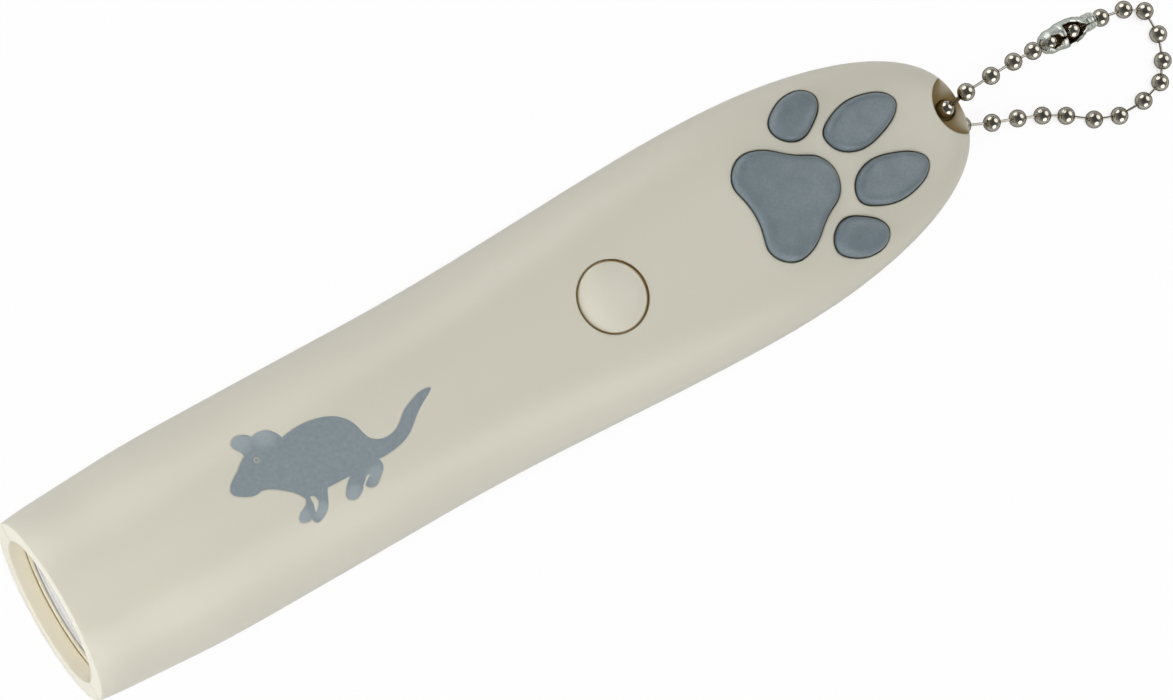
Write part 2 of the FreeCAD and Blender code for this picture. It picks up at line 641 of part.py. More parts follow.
# Upper shell
upper_bosses = common("upper_bosses", [fuse("upper_posts", boss_set("upper", True)), core_form])
upper_solid = fuse("upper_solid", [hull_flat, ribs, collar, upper_bosses])
upper_half = common("upper_half", [upper_solid, over_parting])
button_hole = upright("button_hole", "sizes.button_x", "0", BOX_TOP,
                      "sizes.button_radius + sizes.button_gap", f"{ABOVE}")
flange_room = upright("flange_room", "sizes.button_x", "0", BOX_TOP, "sizes.flange_radius + sizes.clear_gap",
                      f"{collar_foot} - {BOX_TOP}")
upper_bores = fuse(
    "upper_bores",
    [button_hole, flange_room, eyelet_cuts] + screw_bores("upper", "sizes.screw_gap / 2"),
)
upper_bored = cut("upper_bored", upper_half, upper_bores)
windows = form_feature("windows", Part.makeCompound([prism(w, 0, ABOVE) for w in pad_wires(size("pad_gap"))]))
upper_windowed = cut("upper_windowed", upper_bored, windows)
below_inlay = moved(outer_form.Shape, z=-size("inlay_depth"))
inlay_bed = form_feature("inlay_bed", mouse_wall().cut(below_inlay))
upper_shell = cut("upper_shell", upper_windowed, inlay_bed)

# Lower shell
lower_bosses = common("lower_bosses", [fuse("lower_posts", boss_set("lower", False)), core_form])
lower_solid = fuse("lower_solid", [hull_flat, ribs, lower_bosses])
lower_half = cut("lower_half", lower_solid, over_parting)
lower_flat = cut("lower_flat", lower_half, under_floor)
counterbores = [
    upright(f"counterbore_{name}", x, y, f"-{PAST}", "sizes.screw_head_radius + sizes.head_gap",
            f"{PAST} + {seat}")
    for name, x, y, _, seat in screw_places()
]
OPENING_CUT = f"{PAST} + sizes.opening_height"
cover_opening = box("cover_opening", "sizes.cover_front_x", "-sizes.cover_half", f"-{PAST}",
                    "sizes.cover_rear_x - sizes.cover_front_x", "2 * sizes.cover_half", OPENING_CUT)
lower_tools = fuse(
    "lower_tools",
    [eyelet_cuts, cover_opening] + counterbores + screw_bores("lower", "sizes.screw_gap"),
)
lower_shell = cut("lower_shell", lower_flat, lower_tools)

# Belly cover, cut from the same wall as the shell round it
cover_block = box("cover_block", "sizes.cover_front_x + sizes.cover_gap",
                  "sizes.cover_gap - sizes.cover_half", f"-{PAST}",
                  "sizes.cover_rear_x - sizes.cover_front_x - 2 * sizes.cover_gap",
                  "2 * (sizes.cover_half - sizes.cover_gap)", OPENING_CUT)
cover_plate = common("cover_plate", [hull_flat, cover_block])
COVER_SCREW_X = "(sizes.cover_front_x + sizes.cover_boss_inset)"
PILLAR_RADIUS = "(sizes.screw_head_radius + sizes.head_gap + sizes.pillar_wall)"
PILLAR_TOP = "(sizes.head_depth_cover + sizes.pillar_roof)"
cover_pillar = upright("cover_pillar", COVER_SCREW_X, "0", "0", PILLAR_RADIUS, PILLAR_TOP)
cover_body = fuse("cover_body", [cover_plate, common("cover_pad", [cover_pillar, core_form, cover_block])])
cover_bores = fuse("cover_bores", [
    upright("cover_head_bore", COVER_SCREW_X, "0", f"-{PAST}", "sizes.screw_head_radius + sizes.head_gap",
            f"{PAST} + sizes.head_depth_cover"),
    upright("cover_shank_bore", COVER_SCREW_X, "0", f"-{PAST}", "sizes.screw_radius + sizes.screw_gap",
            f"{ABOVE}"),
])
battery_cover = cut("battery_cover", cut("cover_bored", cover_body, cover_bores), under_floor)

# Cell box
box_half = "(sizes.cell_pitch / 2 + sizes.cell_radius + sizes.cell_gap)"
box_block = box("box_block", BOX_FRONT, f"-{box_half} - sizes.box_side_wall", "0",
                f"{BOX_REAR} - {BOX_FRONT}", f"2 * ({box_half} + sizes.box_side_wall)", BOX_TOP)
box_room = box("box_room", BOX_INSIDE, f"-{box_half}", "0",
               "sizes.cell_room", f"2 * {box_half}", f"{BOX_TOP} - sizes.box_roof")
nut_foot = f"{PILLAR_TOP} + sizes.clear_gap"
nut_post = upright("nut_post", COVER_SCREW_X, "0", nut_foot, "sizes.boss_radius", "sizes.nut_height")
nut_web = box("nut_web", COVER_SCREW_X, "-sizes.screw_radius", nut_foot,
              f"{BOX_FRONT} + sizes.box_wall / 2 - {COVER_SCREW_X}", "2 * sizes.screw_radius",
              "sizes.nut_height")
box_raw = fuse("box_raw", [cut("box_shell", box_block, box_room), nut_post, nut_web])
box_trimmed = common("box_trimmed", [box_raw, clear_form])
TAB_HALF = "(sizes.tab_width / 2 + sizes.seat_gap)"
tab_slots = [
    box(f"tab_slot_{side}", f"{REAR_PLATE} - sizes.seat_gap", f"{sign}sizes.cell_pitch / 2 - {TAB_HALF}",
        "sizes.cell_axis_z", "sizes.contact_thickness + 2 * sizes.seat_gap", f"2 * {TAB_HALF}", f"{ABOVE}")
    for side, sign in (("left", ""), ("right", "-"))
]
box_cuts = fuse("box_cuts", [
    upright("nut_bore", COVER_SCREW_X, "0", "0", "sizes.screw_radius + sizes.screw_gap", f"{ABOVE}"),
    upright("pillar_room", COVER_SCREW_X, "0", "0", f"{PILLAR_RADIUS} + sizes.clear_gap", nut_foot),
] + tab_slots)
battery_box = cut("battery_box", box_trimmed, box_cuts)

# Cells, their contacts and springs
cell_end = "(sizes.cell_length - sizes.cell_nub_length)"
cell_profile = (
    ("0", "0"),
    ("0", "sizes.cell_radius - sizes.cell_shoulder"),
    ("sizes.cell_shoulder", "sizes.cell_radius"),
    (f"{cell_end} - sizes.cell_shoulder", "sizes.cell_radius"),
    (cell_end, "sizes.cell_radius - sizes.cell_shoulder"),
    (cell_end, "sizes.cell_nub_radius"),
    ("sizes.cell_length", "sizes.cell_nub_radius"),
    ("sizes.cell_length", "0"),
)
cell_left = turned_body("cell_left", cell_profile)
placed(cell_left, f"{REAR_PLATE} - sizes.seat_gap - sizes.cell_length",
       "sizes.cell_pitch / 2", "sizes.cell_axis_z")
cell_right = turned_body("cell_right", cell_profile)
cell_right.Placement.Rotation = Rotation(Vector(0, 0, 1), 180)
placed(cell_right, f"{SPRING_SIDE} + sizes.seat_gap + sizes.cell_length",
       "-sizes.cell_pitch / 2", "sizes.cell_axis_z")

contact_low = "sizes.cell_axis_z - sizes.contact_width / 2"
bridge_contact = box("bridge_contact", FRONT_PLATE, "-(sizes.cell_pitch + sizes.contact_width) / 2",
                     contact_low, "sizes.contact_thickness", "sizes.cell_pitch + sizes.contact_width",
                     "sizes.contact_width")
terminals = []
for side, sign in (("left", ""), ("right", "-")):
    plate = box(f"plate_{side}", REAR_PLATE, f"{sign}sizes.cell_pitch / 2 - sizes.contact_width / 2",
                contact_low, "sizes.contact_thickness", "sizes.contact_width", "sizes.contact_width")
    tab = box(f"tab_{side}", REAR_PLATE, f"{sign}sizes.cell_pitch / 2 - sizes.tab_width / 2",
              "sizes.cell_axis_z", "sizes.contact_thickness", "sizes.tab_width",
              f"{BOARD_TOP} - sizes.cell_axis_z")
    terminals.append(fuse(f"terminal_{side}", [plate, tab]))
terminal_contacts = group("terminal_contacts", terminals)


def coil(x, y, direction):
    """One contact spring: an even coil whose end turns lie beside the plate and the cell."""
    wire = size("spring_wire")
    radius = size("spring_radius")
    height = size("spring_length") - 2 * wire - 2 * size("seat_gap") / 4
    steps = round(12 * size("spring_turns"))
    points = []
    for i in range(steps + 1):
        angle = 2 * math.pi * size("spring_turns") * i / steps
        points.append(Vector(radius * math.cos(angle), radius * math.sin(angle), height * i / steps))
    line = Part.BSplineCurve()
    line.interpolate(Points=points)
    way = line.tangent(line.FirstParameter)[0]
    section = Part.Wire([Part.Circle(points[0], way, wire).toShape()])
    tube = Part.Wire([line.toShape()]).makePipeShell([section], True, True)
    tube.rotate(Vector(0, 0, 0), Vector(0, 1, 0), 90 * direction)
    tube.translate(Vector(x, y, size("cell_axis_z")))
    return tube


front_coil_x = size("mouth_x") + value_of(SPRING_SIDE) + size("spring_wire") + size("seat_gap") / 4
rear_coil_x = size("mouth_x") + value_of(REAR_PLATE) - size("spring_wire") - size("seat_gap") / 4
contact_springs = form_feature(
    "contact_springs",
    Part.makeCompound(
        [coil(front_coil_x, size("cell_pitch") / 2, 1), coil(rear_coil_x, -size("cell_pitch") / 2, -1)]
    ),
)


# Screws

def screw_shape(length):
    """A pan head screw that points up, its head's seat at Z = 0, with a cross recess."""
    head, radius = size("screw_head_height"), size("screw_head_radius")
    shank = Part.makeCylinder(size("screw_radius"), length)
    pan = Part.makeCylinder(radius, head, Vector(0, 0, -head))
    pan = pan.makeChamfer(head / 4, [e for e in pan.Edges if e.BoundBox.ZMax < -head / 2])
    slot_long, slot_wide, slot_deep = radius * 1.2, radius * 0.28, head * 0.55
    solid = pan.fuse(shank)
    for long_x, long_y in ((slot_long, slot_wide), (slot_wide, slot_long)):
        solid = solid.cut(Part.makeBox(long_x, long_y, slot_deep, Vector(-long_x / 2, -long_y / 2, -head)))
    return solid.removeSplitter()


def screw_at(x, y, seat, length):
    return moved(screw_shape(length), size("mouth_x") + value_of(x), value_of(y), value_of(seat))


case_screws = form_feature("case_screws", Part.makeCompound([
    screw_at(x, y, seat, size("case_screw_length")) for _, x, y, _, seat in screw_places()
]))
cover_screw = form_feature(
    "cover_screw", screw_at(COVER_SCREW_X, "0", "sizes.head_depth_cover", size("cover_screw_length"))
)

# Projector: tube, lens, ring, mask, lamp holder and lamp, all turned about the mouth's axis
seat_depth = f"({LENS_REAR} + {SEAT_RISE} + sizes.seat_gap / 2 - {TUBE_FRONT})"
rear_in = "(sizes.mask_radius + sizes.seat_gap)"
projector_tube = turned_body("projector_tube", (
    ("0", f"{LENS_RADIUS} + sizes.seat_gap"),
    ("0", "sizes.tube_radius"),
    ("sizes.tube_front_length", "sizes.tube_radius"),
    ("sizes.tube_length - sizes.tube_rear_length", "sizes.tube_rear_radius"),
    ("sizes.tube_length", "sizes.tube_rear_radius"),
    ("sizes.tube_length", rear_in),
    ("sizes.tube_length - sizes.socket_depth", rear_in),
    ("sizes.tube_length - sizes.socket_depth", "sizes.mask_radius - sizes.mask_ledge"),
    ("sizes.tube_length - sizes.tube_rear_length", "sizes.mask_radius - sizes.mask_ledge"),
    ("sizes.tube_front_length", SEAT_BORE),
    (seat_depth, SEAT_BORE),
    (seat_depth, f"{LENS_RADIUS} + sizes.seat_gap"),
))
placed(projector_tube, TUBE_FRONT, "0", AXIS_Z)

lens_ring = turned_body("lens_ring", (
    ("0", f"{LENS_RADIUS} - sizes.ring_width"),
    ("0", LENS_RADIUS),
    ("sizes.ring_thickness", LENS_RADIUS),
    ("sizes.ring_thickness", f"{LENS_RADIUS} - sizes.ring_width"),
))
placed(lens_ring, TUBE_FRONT, "0", AXIS_Z)


def crown_ball(name, bulge, x_of_crown, towards):
    """A ball whose cap makes one crown of the lens; towards is 1 for the rear crown."""
    ball = doc.addObject("Part::Sphere", name)
    radius = f"({LENS_RADIUS} * {LENS_RADIUS} + {bulge} * {bulge}) / (2 * {bulge})"
    bind(ball, Radius=radius)
    return placed(ball, f"{x_of_crown} - {towards} * {radius}", "0", AXIS_Z)


front_crown = f"({LENS_FRONT} - sizes.lens_front_bulge)"
rear_crown = f"({LENS_REAR} + sizes.lens_rear_bulge)"
lens_blank = lengthwise("lens_blank", front_crown, "0", AXIS_Z, LENS_RADIUS, f"{rear_crown} - {front_crown}")
lens = common("lens", [
    lens_blank,
    crown_ball("front_ball", "sizes.lens_front_bulge", front_crown, "-1"),
    crown_ball("rear_ball", "sizes.lens_rear_bulge", rear_crown, "1"),
])

MASK_X = f"({TUBE_REAR} - sizes.socket_depth + sizes.seat_gap / 2)"
mask_disc = lengthwise("mask_disc", MASK_X, "0", AXIS_Z, "sizes.mask_radius", "sizes.mask_thickness")
mask_scale = size("mask_picture") / MOUSE_LENGTH
mask_prism = prism(stroke_wire(MOUSE, -MOUSE_LENGTH * mask_scale / 2, mask_scale), -1, 3)
mask_prism.rotate(Vector(0, 0, 0), Vector(1, 1, 1), 120)
mask_prism.translate(Vector(size("mouth_x") + value_of(MASK_X), 0, size("mouth_radius")))
picture_mask = cut("picture_mask", mask_disc, form_feature("mask_window", mask_prism))

HOLDER_X = f"({MASK_X} + sizes.mask_thickness + sizes.seat_gap / 2)"
dome_recess = "(sizes.lamp_length - sizes.lamp_flange_length - sizes.lamp_radius)"
lamp_holder = turned_body("lamp_holder", (
    ("0", "sizes.mask_radius - sizes.mask_ledge"),
    ("0", "sizes.mask_radius"),
    ("sizes.holder_length", "sizes.mask_radius"),
    ("sizes.holder_length", "sizes.lamp_radius + sizes.seat_gap"),
    ("sizes.holder_length / 2", "sizes.lamp_radius + sizes.seat_gap"),
))
placed(lamp_holder, HOLDER_X, "0", AXIS_Z)

LAMP_BASE = f"({HOLDER_X} + sizes.holder_length + sizes.seat_gap / 2)"
lamp_barrel = lengthwise("lamp_barrel", f"{LAMP_BASE} - {dome_recess}", "0", AXIS_Z, "sizes.lamp_radius",
                         f"{dome_recess} + sizes.lamp_flange_length")
lamp_dome = doc.addObject("Part::Sphere", "lamp_dome")
placed(bind(lamp_dome, Radius="sizes.lamp_radius"), f"{LAMP_BASE} - {dome_recess}", "0", AXIS_Z)
lamp_ring = lengthwise("lamp_ring", LAMP_BASE, "0", AXIS_Z, "sizes.lamp_flange", "sizes.lamp_flange_length")
lamp_leads = [
    box(f"lamp_lead_{side}", f"{LAMP_BASE} + sizes.lamp_flange_length / 2",
        f"{sign}sizes.lead_pitch / 2 - sizes.lead_width / 2", f"{AXIS_Z} - sizes.lead_width / 2",
        "sizes.lamp_flange_length / 2 + sizes.lead_length", "sizes.lead_width", "sizes.lead_width")
    for side, sign in (("left", ""), ("right", "-"))
]
lamp = fuse("lamp", [lamp_barrel, lamp_dome, lamp_ring] + lamp_leads)

# Board, switch, resistor and push button
BOARD_FRONT = "(sizes.button_x - sizes.board_reach)"
BOARD_REAR = f"({REAR_PLATE} - sizes.seat_gap)"
board_blank = box("board_blank", BOARD_FRONT, "-sizes.board_width / 2", f"{BOX_TOP} + sizes.seat_gap",
                  f"{BOARD_REAR} - {BOARD_FRONT}", "sizes.board_width", "sizes.board_thickness")
board_holes = [
    upright(f"board_hole_{i}", x, "sizes.board_width / 2 - sizes.hole_inset", "0",
            "sizes.hole_radius", f"{ABOVE}")
    for i, x in enumerate((f"{BOARD_FRONT} + sizes.hole_inset", f"{BOARD_REAR} - sizes.hole_inset"))
]
circuit_board = cut("circuit_board", board_blank, fuse("board_drilling", board_holes))
switch_block = box("switch_block", "sizes.button_x - sizes.switch_side / 2", "-sizes.switch_side / 2",
                   BOARD_TOP, "sizes.switch_side", "sizes.switch_side", "sizes.switch_height")
switch_well = upright("switch_well", "sizes.button_x", "0",
                      f"{SWITCH_TOP} - sizes.plunger_depth - sizes.button_travel - sizes.clear_gap",
                      "sizes.plunger_radius + sizes.clear_gap", f"{ABOVE}")
switch_body = cut("switch_body", switch_block, switch_well)
switch_plunger = upright("switch_plunger", "sizes.button_x", "0", f"{SWITCH_TOP} - sizes.plunger_depth",
                         "sizes.plunger_radius", "sizes.plunger_depth + sizes.plunger_rise")

resistor_waist = "sizes.resistor_radius - sizes.resistor_cap_step"
resistor_far = "sizes.resistor_length - sizes.resistor_cap_length"
resistor = turned_body("resistor", (
    ("0", "0"),
    ("0", "sizes.resistor_radius"),
    ("sizes.resistor_cap_length", "sizes.resistor_radius"),
    ("sizes.resistor_cap_length", resistor_waist),
    (resistor_far, resistor_waist),
    (resistor_far, "sizes.resistor_radius"),
    ("sizes.resistor_length", "sizes.resistor_radius"),
    ("sizes.resistor_length", "0"),
))
resistor.Placement.Rotation = Rotation(Vector(0, 0, 1), 90)
placed(resistor, f"{BOARD_REAR} - sizes.resistor_inset", "-sizes.resistor_length / 2",
       f"{BOARD_TOP} + sizes.resistor_radius")

cap_height = f"(sizes.button_surface + sizes.button_proud - {FLANGE_FOOT})"


cap_corner = f"({cap_height} - sizes.button_edge_drop - sizes.button_edge_round)"


def cap_edge(degrees):
    """A point of the cap's rounded edge, at a turn from its wall towards its crown."""
    inward, up = 1 - math.cos(math.radians(degrees)), math.sin(math.radians(degrees))
    along = f"sizes.button_radius - sizes.button_edge_round * {inward:.4f}"
    return along, f"{cap_corner} + sizes.button_edge_round * {up:.4f}"


def cap_crown(share):
    """A point of the cap's crown, at a share of the radius that its rounded edge leaves."""
    along = f"(sizes.button_radius - sizes.button_edge_round) * {share}"
    return along, f"{cap_height} - sizes.button_edge_drop * {share ** 3:.4f}"


push_button = turned_body("push_button", (
    ("0", "0"),
    ("sizes.flange_radius", "0"),
    ("sizes.flange_radius", "sizes.flange_thickness"),
    ("sizes.button_radius", "sizes.flange_thickness"),
    cap_edge(0),
    cap_edge(30),
    cap_edge(60),
    cap_crown(1.0),
    cap_crown(0.8),
    cap_crown(0.6),
    cap_crown(0.4),
    ("0", cap_height),
), about="V_Axis")
placed(push_button, "sizes.button_x", "0", FLANGE_FOOT)


# Wires inside the body

def wire_tube(points, radius):
    """A round wire along straight runs joined by tangent arcs."""
    edges, start = [], points[0]
    for before, corner, after in zip(points, points[1:], points[2:]):
        back, on = (before - corner), (after - corner)
        runs = min(back.Length, on.Length)
        back.normalize()
        on.normalize()
        half_turn = (math.pi - back.getAngle(on)) / 2
        reach = 0.45 * runs
        bend = reach / math.tan(half_turn)
        first, last = corner + back * reach, corner + on * reach
        centre_way = back + on
        centre_way.normalize()
        middle = corner + centre_way * (math.hypot(bend, reach) - bend)
        edges += [Part.LineSegment(start, first).toShape(), Part.Arc(first, middle, last).toShape()]
        start = last
    edges.append(Part.LineSegment(start, points[-1]).toShape())
    path = Part.Wire(edges)
    way = points[1] - points[0]
    section = Part.Wire([Part.Circle(points[0], way, radius).toShape()])
    return path.makePipeShell([section], True, False)


def inside(x, y, z):
    return Vector(size("mouth_x") + value_of(x), value_of(y), value_of(z))


over_box = f"({BOX_TOP} + sizes.seat_gap + sizes.wire_radius)"
over_edge = f"({over_box} + 2 * sizes.wire_radius)"
lead_end = f"({LAMP_BASE} + sizes.lamp_flange_length + sizes.lead_length + sizes.seat_gap)"
half_climb = f"(({BOX_FRONT} - {lead_end}) / 2)"
lamp_wires = form_feature("lamp_wires", Part.makeCompound([
    wire_tube([
        inside(lead_end, f"{side} * sizes.lead_pitch / 2", AXIS_Z),
        inside(f"{lead_end} + {half_climb}", f"{side} * sizes.lead_pitch / 2", AXIS_Z),
        inside(f"{BOX_FRONT} - sizes.wire_radius", f"{side} * sizes.wire_side", over_edge),
        inside(f"{BOX_FRONT} + sizes.cell_radius", f"{side} * sizes.wire_side", over_box),
        inside(f"{BOARD_FRONT} - sizes.seat_gap", f"{side} * sizes.wire_side", over_box),
    ], size("wire_radius"))
    for side in (1, -1)
]))

# Paw grip: five soft pads that stand through windows of the shell, on one inner web
raised_form = moved(outer_form.Shape, z=size("pad_proud"))


def soft_pad(wire):
    """One pad from the middle of the web to its crown, with a rounded upper edge."""
    foot = moved(clear_form.Shape, z=-size("carrier_thickness") / 2)
    pad = prism(wire, parting_height(size("palm_x")), ABOVE).common(raised_form).cut(foot)
    crown = max(pad.Faces, key=lambda face: face.CenterOfMass.z)
    return pad.makeFillet(size("pad_round"), crown.Edges)


def pad_web():
    """The web: a skin under the shell's wall that reaches past the pads."""
    x = size("mouth_x") + size("paw_x") - size("carrier_margin")
    corners = [corner for pad in PADS for corner in pad]
    length = max(u for u, _ in corners) + 2 * size("carrier_margin")
    half = max(v for _, v in corners) + size("carrier_margin")
    low = parting_height(size("palm_x")) + size("carrier_thickness")
    block = Part.makeBox(length, 2 * half, ABOVE, Vector(x, -half, low))
    return clear_form.Shape.common(block).cut(moved(clear_form.Shape, z=-size("carrier_thickness")))


paw_insert = form_feature("paw_insert", pad_web().multiFuse([soft_pad(wire) for wire in pad_wires(0)]))
mouse_inlay = form_feature("mouse_inlay", mouse_wall().common(outer_form.Shape).cut(below_inlay))

# Bead chain. Each bead's middle is given from the tail tip: along, across and above the floor.
# The first bead sits in the eyelet and the last lies under the bar beside it.
EYELET_BEADS = ((-2.29, 0.14, 8.65), (-2.1, -0.6, 4.75))
TURNING_BEADS = ((1.15, 0.76, 8.85), (-0.13, -2.79, 4.1))
LOOP_BEADS = (
    (5.35, 1.02, 8.1),
    (9.2, 1.2, 7.1),
    (12.5, 1.17, 6.1),
    (15.2, 1.15, 5.2),
    (19.05, 1.05, 4.0),
    (23.8, 0.65, 2.3),
    (27.35, 0.1, 1.5),
    (29.85, -1.4, 1.18),
    (29.92, -4.9, 1.18),
    (28.7, -8.2, 1.18),
    (26.95, -10.5, 1.18),
    (23.75, -11.55, 1.18),
    (19.9, -11.7, 1.18),
    (16.65, -10.5, 1.18),
    (13.6, -8.3, 1.18),
    (10.75, -6.75, 1.3),
    (7.45, -5.5, 1.95),
    (3.85, -4.35, 2.9),
)
CLASP_FIRST = 3


def bead_centre(bead):
    along, across, height = bead
    return Vector(size("mouth_x") + size("body_length") + along, across, height)


def beads(places):
    return Part.makeCompound([Part.makeSphere(size("bead_radius"), bead_centre(place)) for place in places])


def link(first, last, first_gap=0.0, last_gap=0.0):
    """The wire between two beads. A gap keeps it off a bead that turns."""
    a, b = bead_centre(first), bead_centre(last)
    way = b - a
    way.normalize()
    start = a + way * (size("bead_radius") + (first_gap or -size("link_entry")))
    stop = b - way * (size("bead_radius") + (last_gap or -size("link_entry")))
    return Part.makeCylinder(size("link_radius"), (stop - start).Length, start, way)


gap = size("joint_gap")
chain_root_beads = form_feature("chain_root_beads", beads(EYELET_BEADS))
chain_root_links = form_feature("chain_root_links", Part.makeCompound([
    link(*EYELET_BEADS),
    link(EYELET_BEADS[0], TURNING_BEADS[0], 0.0, gap),
    link(EYELET_BEADS[1], TURNING_BEADS[1], 0.0, gap),
]))
loop = (TURNING_BEADS[0],) + LOOP_BEADS + (TURNING_BEADS[1],)
chain_beads = form_feature("chain_beads", beads(loop))
inside_clasp = CLASP_FIRST + 1
chain_links = form_feature("chain_links", Part.makeCompound([
    link(a, b) for i, (a, b) in enumerate(zip(loop, loop[1:])) if i != inside_clasp
]))


def turned_along(stations):
    """A solid turned about X from a smooth line through (along, radius) stations."""
    line = [Vector(along, 0, radius) for along, radius in stations]
    curve = Part.BSplineCurve()
    curve.interpolate(Points=line)
    closing = [line[-1], Vector(line[-1].x, 0, 0), Vector(line[0].x, 0, 0), line[0]]
    sides = [Part.LineSegment(a, b).toShape() for a, b in zip(closing, closing[1:])]
    return Part.Face(Part.Wire([curve.toShape()] + sides)).revolve(Vector(0, 0, 0), Vector(1, 0, 0), 360)


def clasp():
    """A sheet sleeve folded round two beads, open over both, with a neck at its far end."""
    a, b = bead_centre(LOOP_BEADS[CLASP_FIRST]), bead_centre(LOOP_BEADS[CLASP_FIRST + 1])
    last = (b - a).Length
    fold = last / 2
    wall, start, end = size("clasp_wall"), -size("clasp_end"), last + size("clasp_taper")
    first_radius, last_radius = size("clasp_first_radius"), size("clasp_last_radius")
    outside = turned_along((
        (start, size("clasp_end_radius")),
        (0.0, first_radius),
        (fold, size("clasp_fold_radius")),
        (last, last_radius),
        (end, size("clasp_neck_radius")),
    ))
    hollow = turned_along((
        (start, size("clasp_end_radius") - wall),
        (0.0, first_radius - wall),
        (fold, size("clasp_throat")),
        (last, last_radius - wall),
        (end, size("clasp_neck_bore")),
    ))
    neck_length = size("clasp_neck_length")
    neck_start = Vector(end, 0, 0)
    neck = Part.makeCylinder(size("clasp_neck_radius"), neck_length, neck_start, Vector(1, 0, 0))
    bore = Part.makeCylinder(size("clasp_neck_bore"), neck_length, neck_start, Vector(1, 0, 0))
    solid = outside.cut(hollow).fuse(neck.cut(bore))
    over_first = (start * 0.8, 0.0, fold * 0.6, size("clasp_slit_half"))
    over_last = (fold, last, end, size("clasp_opening_half"))
    for near, middle, far, half in (over_first, over_last):
        corners = [Vector(near, 0, 0), Vector(middle, half, 0), Vector(far, 0, 0), Vector(middle, -half, 0)]
        opening = Part.Face(Part.makePolygon(corners + corners[:1]))
        solid = solid.cut(opening.extrude(Vector(0, 0, 2 * last_radius)))
    solid.Placement = FreeCAD.Placement(a, Rotation(Vector(1, 0, 0), b - a))
    return solid


chain_clasp = form_feature("chain_clasp", clasp())

NODES = (
    upper_shell, lower_shell, battery_cover, cover_screw, case_screws, push_button, switch_plunger,
    switch_body, circuit_board, resistor, lamp_wires, lamp, lamp_holder, picture_mask, projector_tube,
    lens, lens_ring, battery_box, cell_left, cell_right, bridge_contact, terminal_contacts,
    contact_springs, paw_insert, mouse_inlay, chain_root_beads, chain_root_links, chain_beads,
    chain_links, chain_clasp,
)

doc.recompute()
for feature in doc.Objects:
    if {"Invalid", "Error"} & set(feature.State):
        raise RuntimeError(f"{feature.Label} is {feature.State}")
os.makedirs("parts", exist_ok=True)
for node in NODES:
    if node.Shape.isNull() or not node.Shape.isValid():
        raise RuntimeError(f"{node.Label} has no valid shape")
    print(node.Label, len(node.Shape.Solids), "solids", round(node.Shape.Volume, 1), "mm3")
    node.Shape.exportStep(f"parts/{node.Label}.step")
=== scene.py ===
import math
import bmesh
import bpy
from mathutils import Matrix, Vector


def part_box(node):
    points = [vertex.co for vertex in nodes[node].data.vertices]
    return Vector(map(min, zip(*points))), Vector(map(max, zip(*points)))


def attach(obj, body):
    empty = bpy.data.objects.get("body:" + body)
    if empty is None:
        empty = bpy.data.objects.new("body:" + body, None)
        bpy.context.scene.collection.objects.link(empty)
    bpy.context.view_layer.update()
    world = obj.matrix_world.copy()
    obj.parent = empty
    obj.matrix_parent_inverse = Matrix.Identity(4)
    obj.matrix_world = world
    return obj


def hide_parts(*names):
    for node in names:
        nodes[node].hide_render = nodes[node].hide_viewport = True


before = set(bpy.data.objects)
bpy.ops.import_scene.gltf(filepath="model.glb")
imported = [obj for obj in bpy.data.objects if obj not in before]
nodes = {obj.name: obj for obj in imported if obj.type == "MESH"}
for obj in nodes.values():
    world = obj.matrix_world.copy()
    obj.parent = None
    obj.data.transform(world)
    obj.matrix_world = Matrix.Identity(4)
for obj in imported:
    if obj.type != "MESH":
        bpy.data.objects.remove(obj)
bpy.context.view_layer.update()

# Sizes in millimetres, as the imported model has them
MM = 0.001
MOUTH_X = -84.35
TAIL_X = MOUTH_X + 137.6
MOUTH_RISE = 12.75
TAIL_RISE = 7.0
BODY_SLOPE = 0.11
BORE_RADIUS = 10.1
EYELET_X = TAIL_X - 2.25


def spot(x, y, z):
    """A place in the model's frame, given in millimetres."""
    return Vector((x, y, z)) * MM


# Small tools for materials and node trees

def colour(code):
    """An sRGB hex code as linear red, green and blue with full alpha."""
    parts = [int(code[i:i + 2], 16) / 255 for i in (0, 2, 4)]
    return [c / 12.92 if c <= 0.04045 else ((c + 0.055) / 1.055) ** 2.4 for c in parts] + [1.0]


def add(tree, kind, inputs=(), **settings):
    """One node, with its settings and with its inputs set or linked."""
    node = tree.nodes.new(kind)
    for name, value in settings.items():
        setattr(node, name, value)
    for name, value in dict(inputs).items():
        if isinstance(value, bpy.types.NodeSocket):
            tree.links.new(value, node.inputs[name])
        else:
            node.inputs[name].default_value = value
    return node


def empty_material(name):
    """A material with nothing in it yet, and a vector that counts in millimetres on the model."""
    material = bpy.data.materials.new(name)
    material.use_nodes = True
    tree = material.node_tree
    tree.nodes.clear()
    place = add(tree, "ShaderNodeTexCoord")
    millimetres = add(tree, "ShaderNodeVectorMath", {0: place.outputs["Object"], "Scale": 1000.0}, operation="SCALE")
    return material, tree, millimetres.outputs[0]


def close(tree, shader):
    add(tree, "ShaderNodeOutputMaterial", {"Surface": shader.outputs[0]})


# Tones of the cream plastic: painted shade in the narrow gaps between parts, painted pale tan light in the mouth's
# bore, painted brown shade in the eyelet's scoop, and the seam's own darker line
PAINTED_GAP_SHADE = "A8905E"
PAINTED_BORE_LIGHT = "F0E4C4"
PAINTED_EYELET_SHADE = "8A7240"
SEAM_SHADE = "8F8A78"


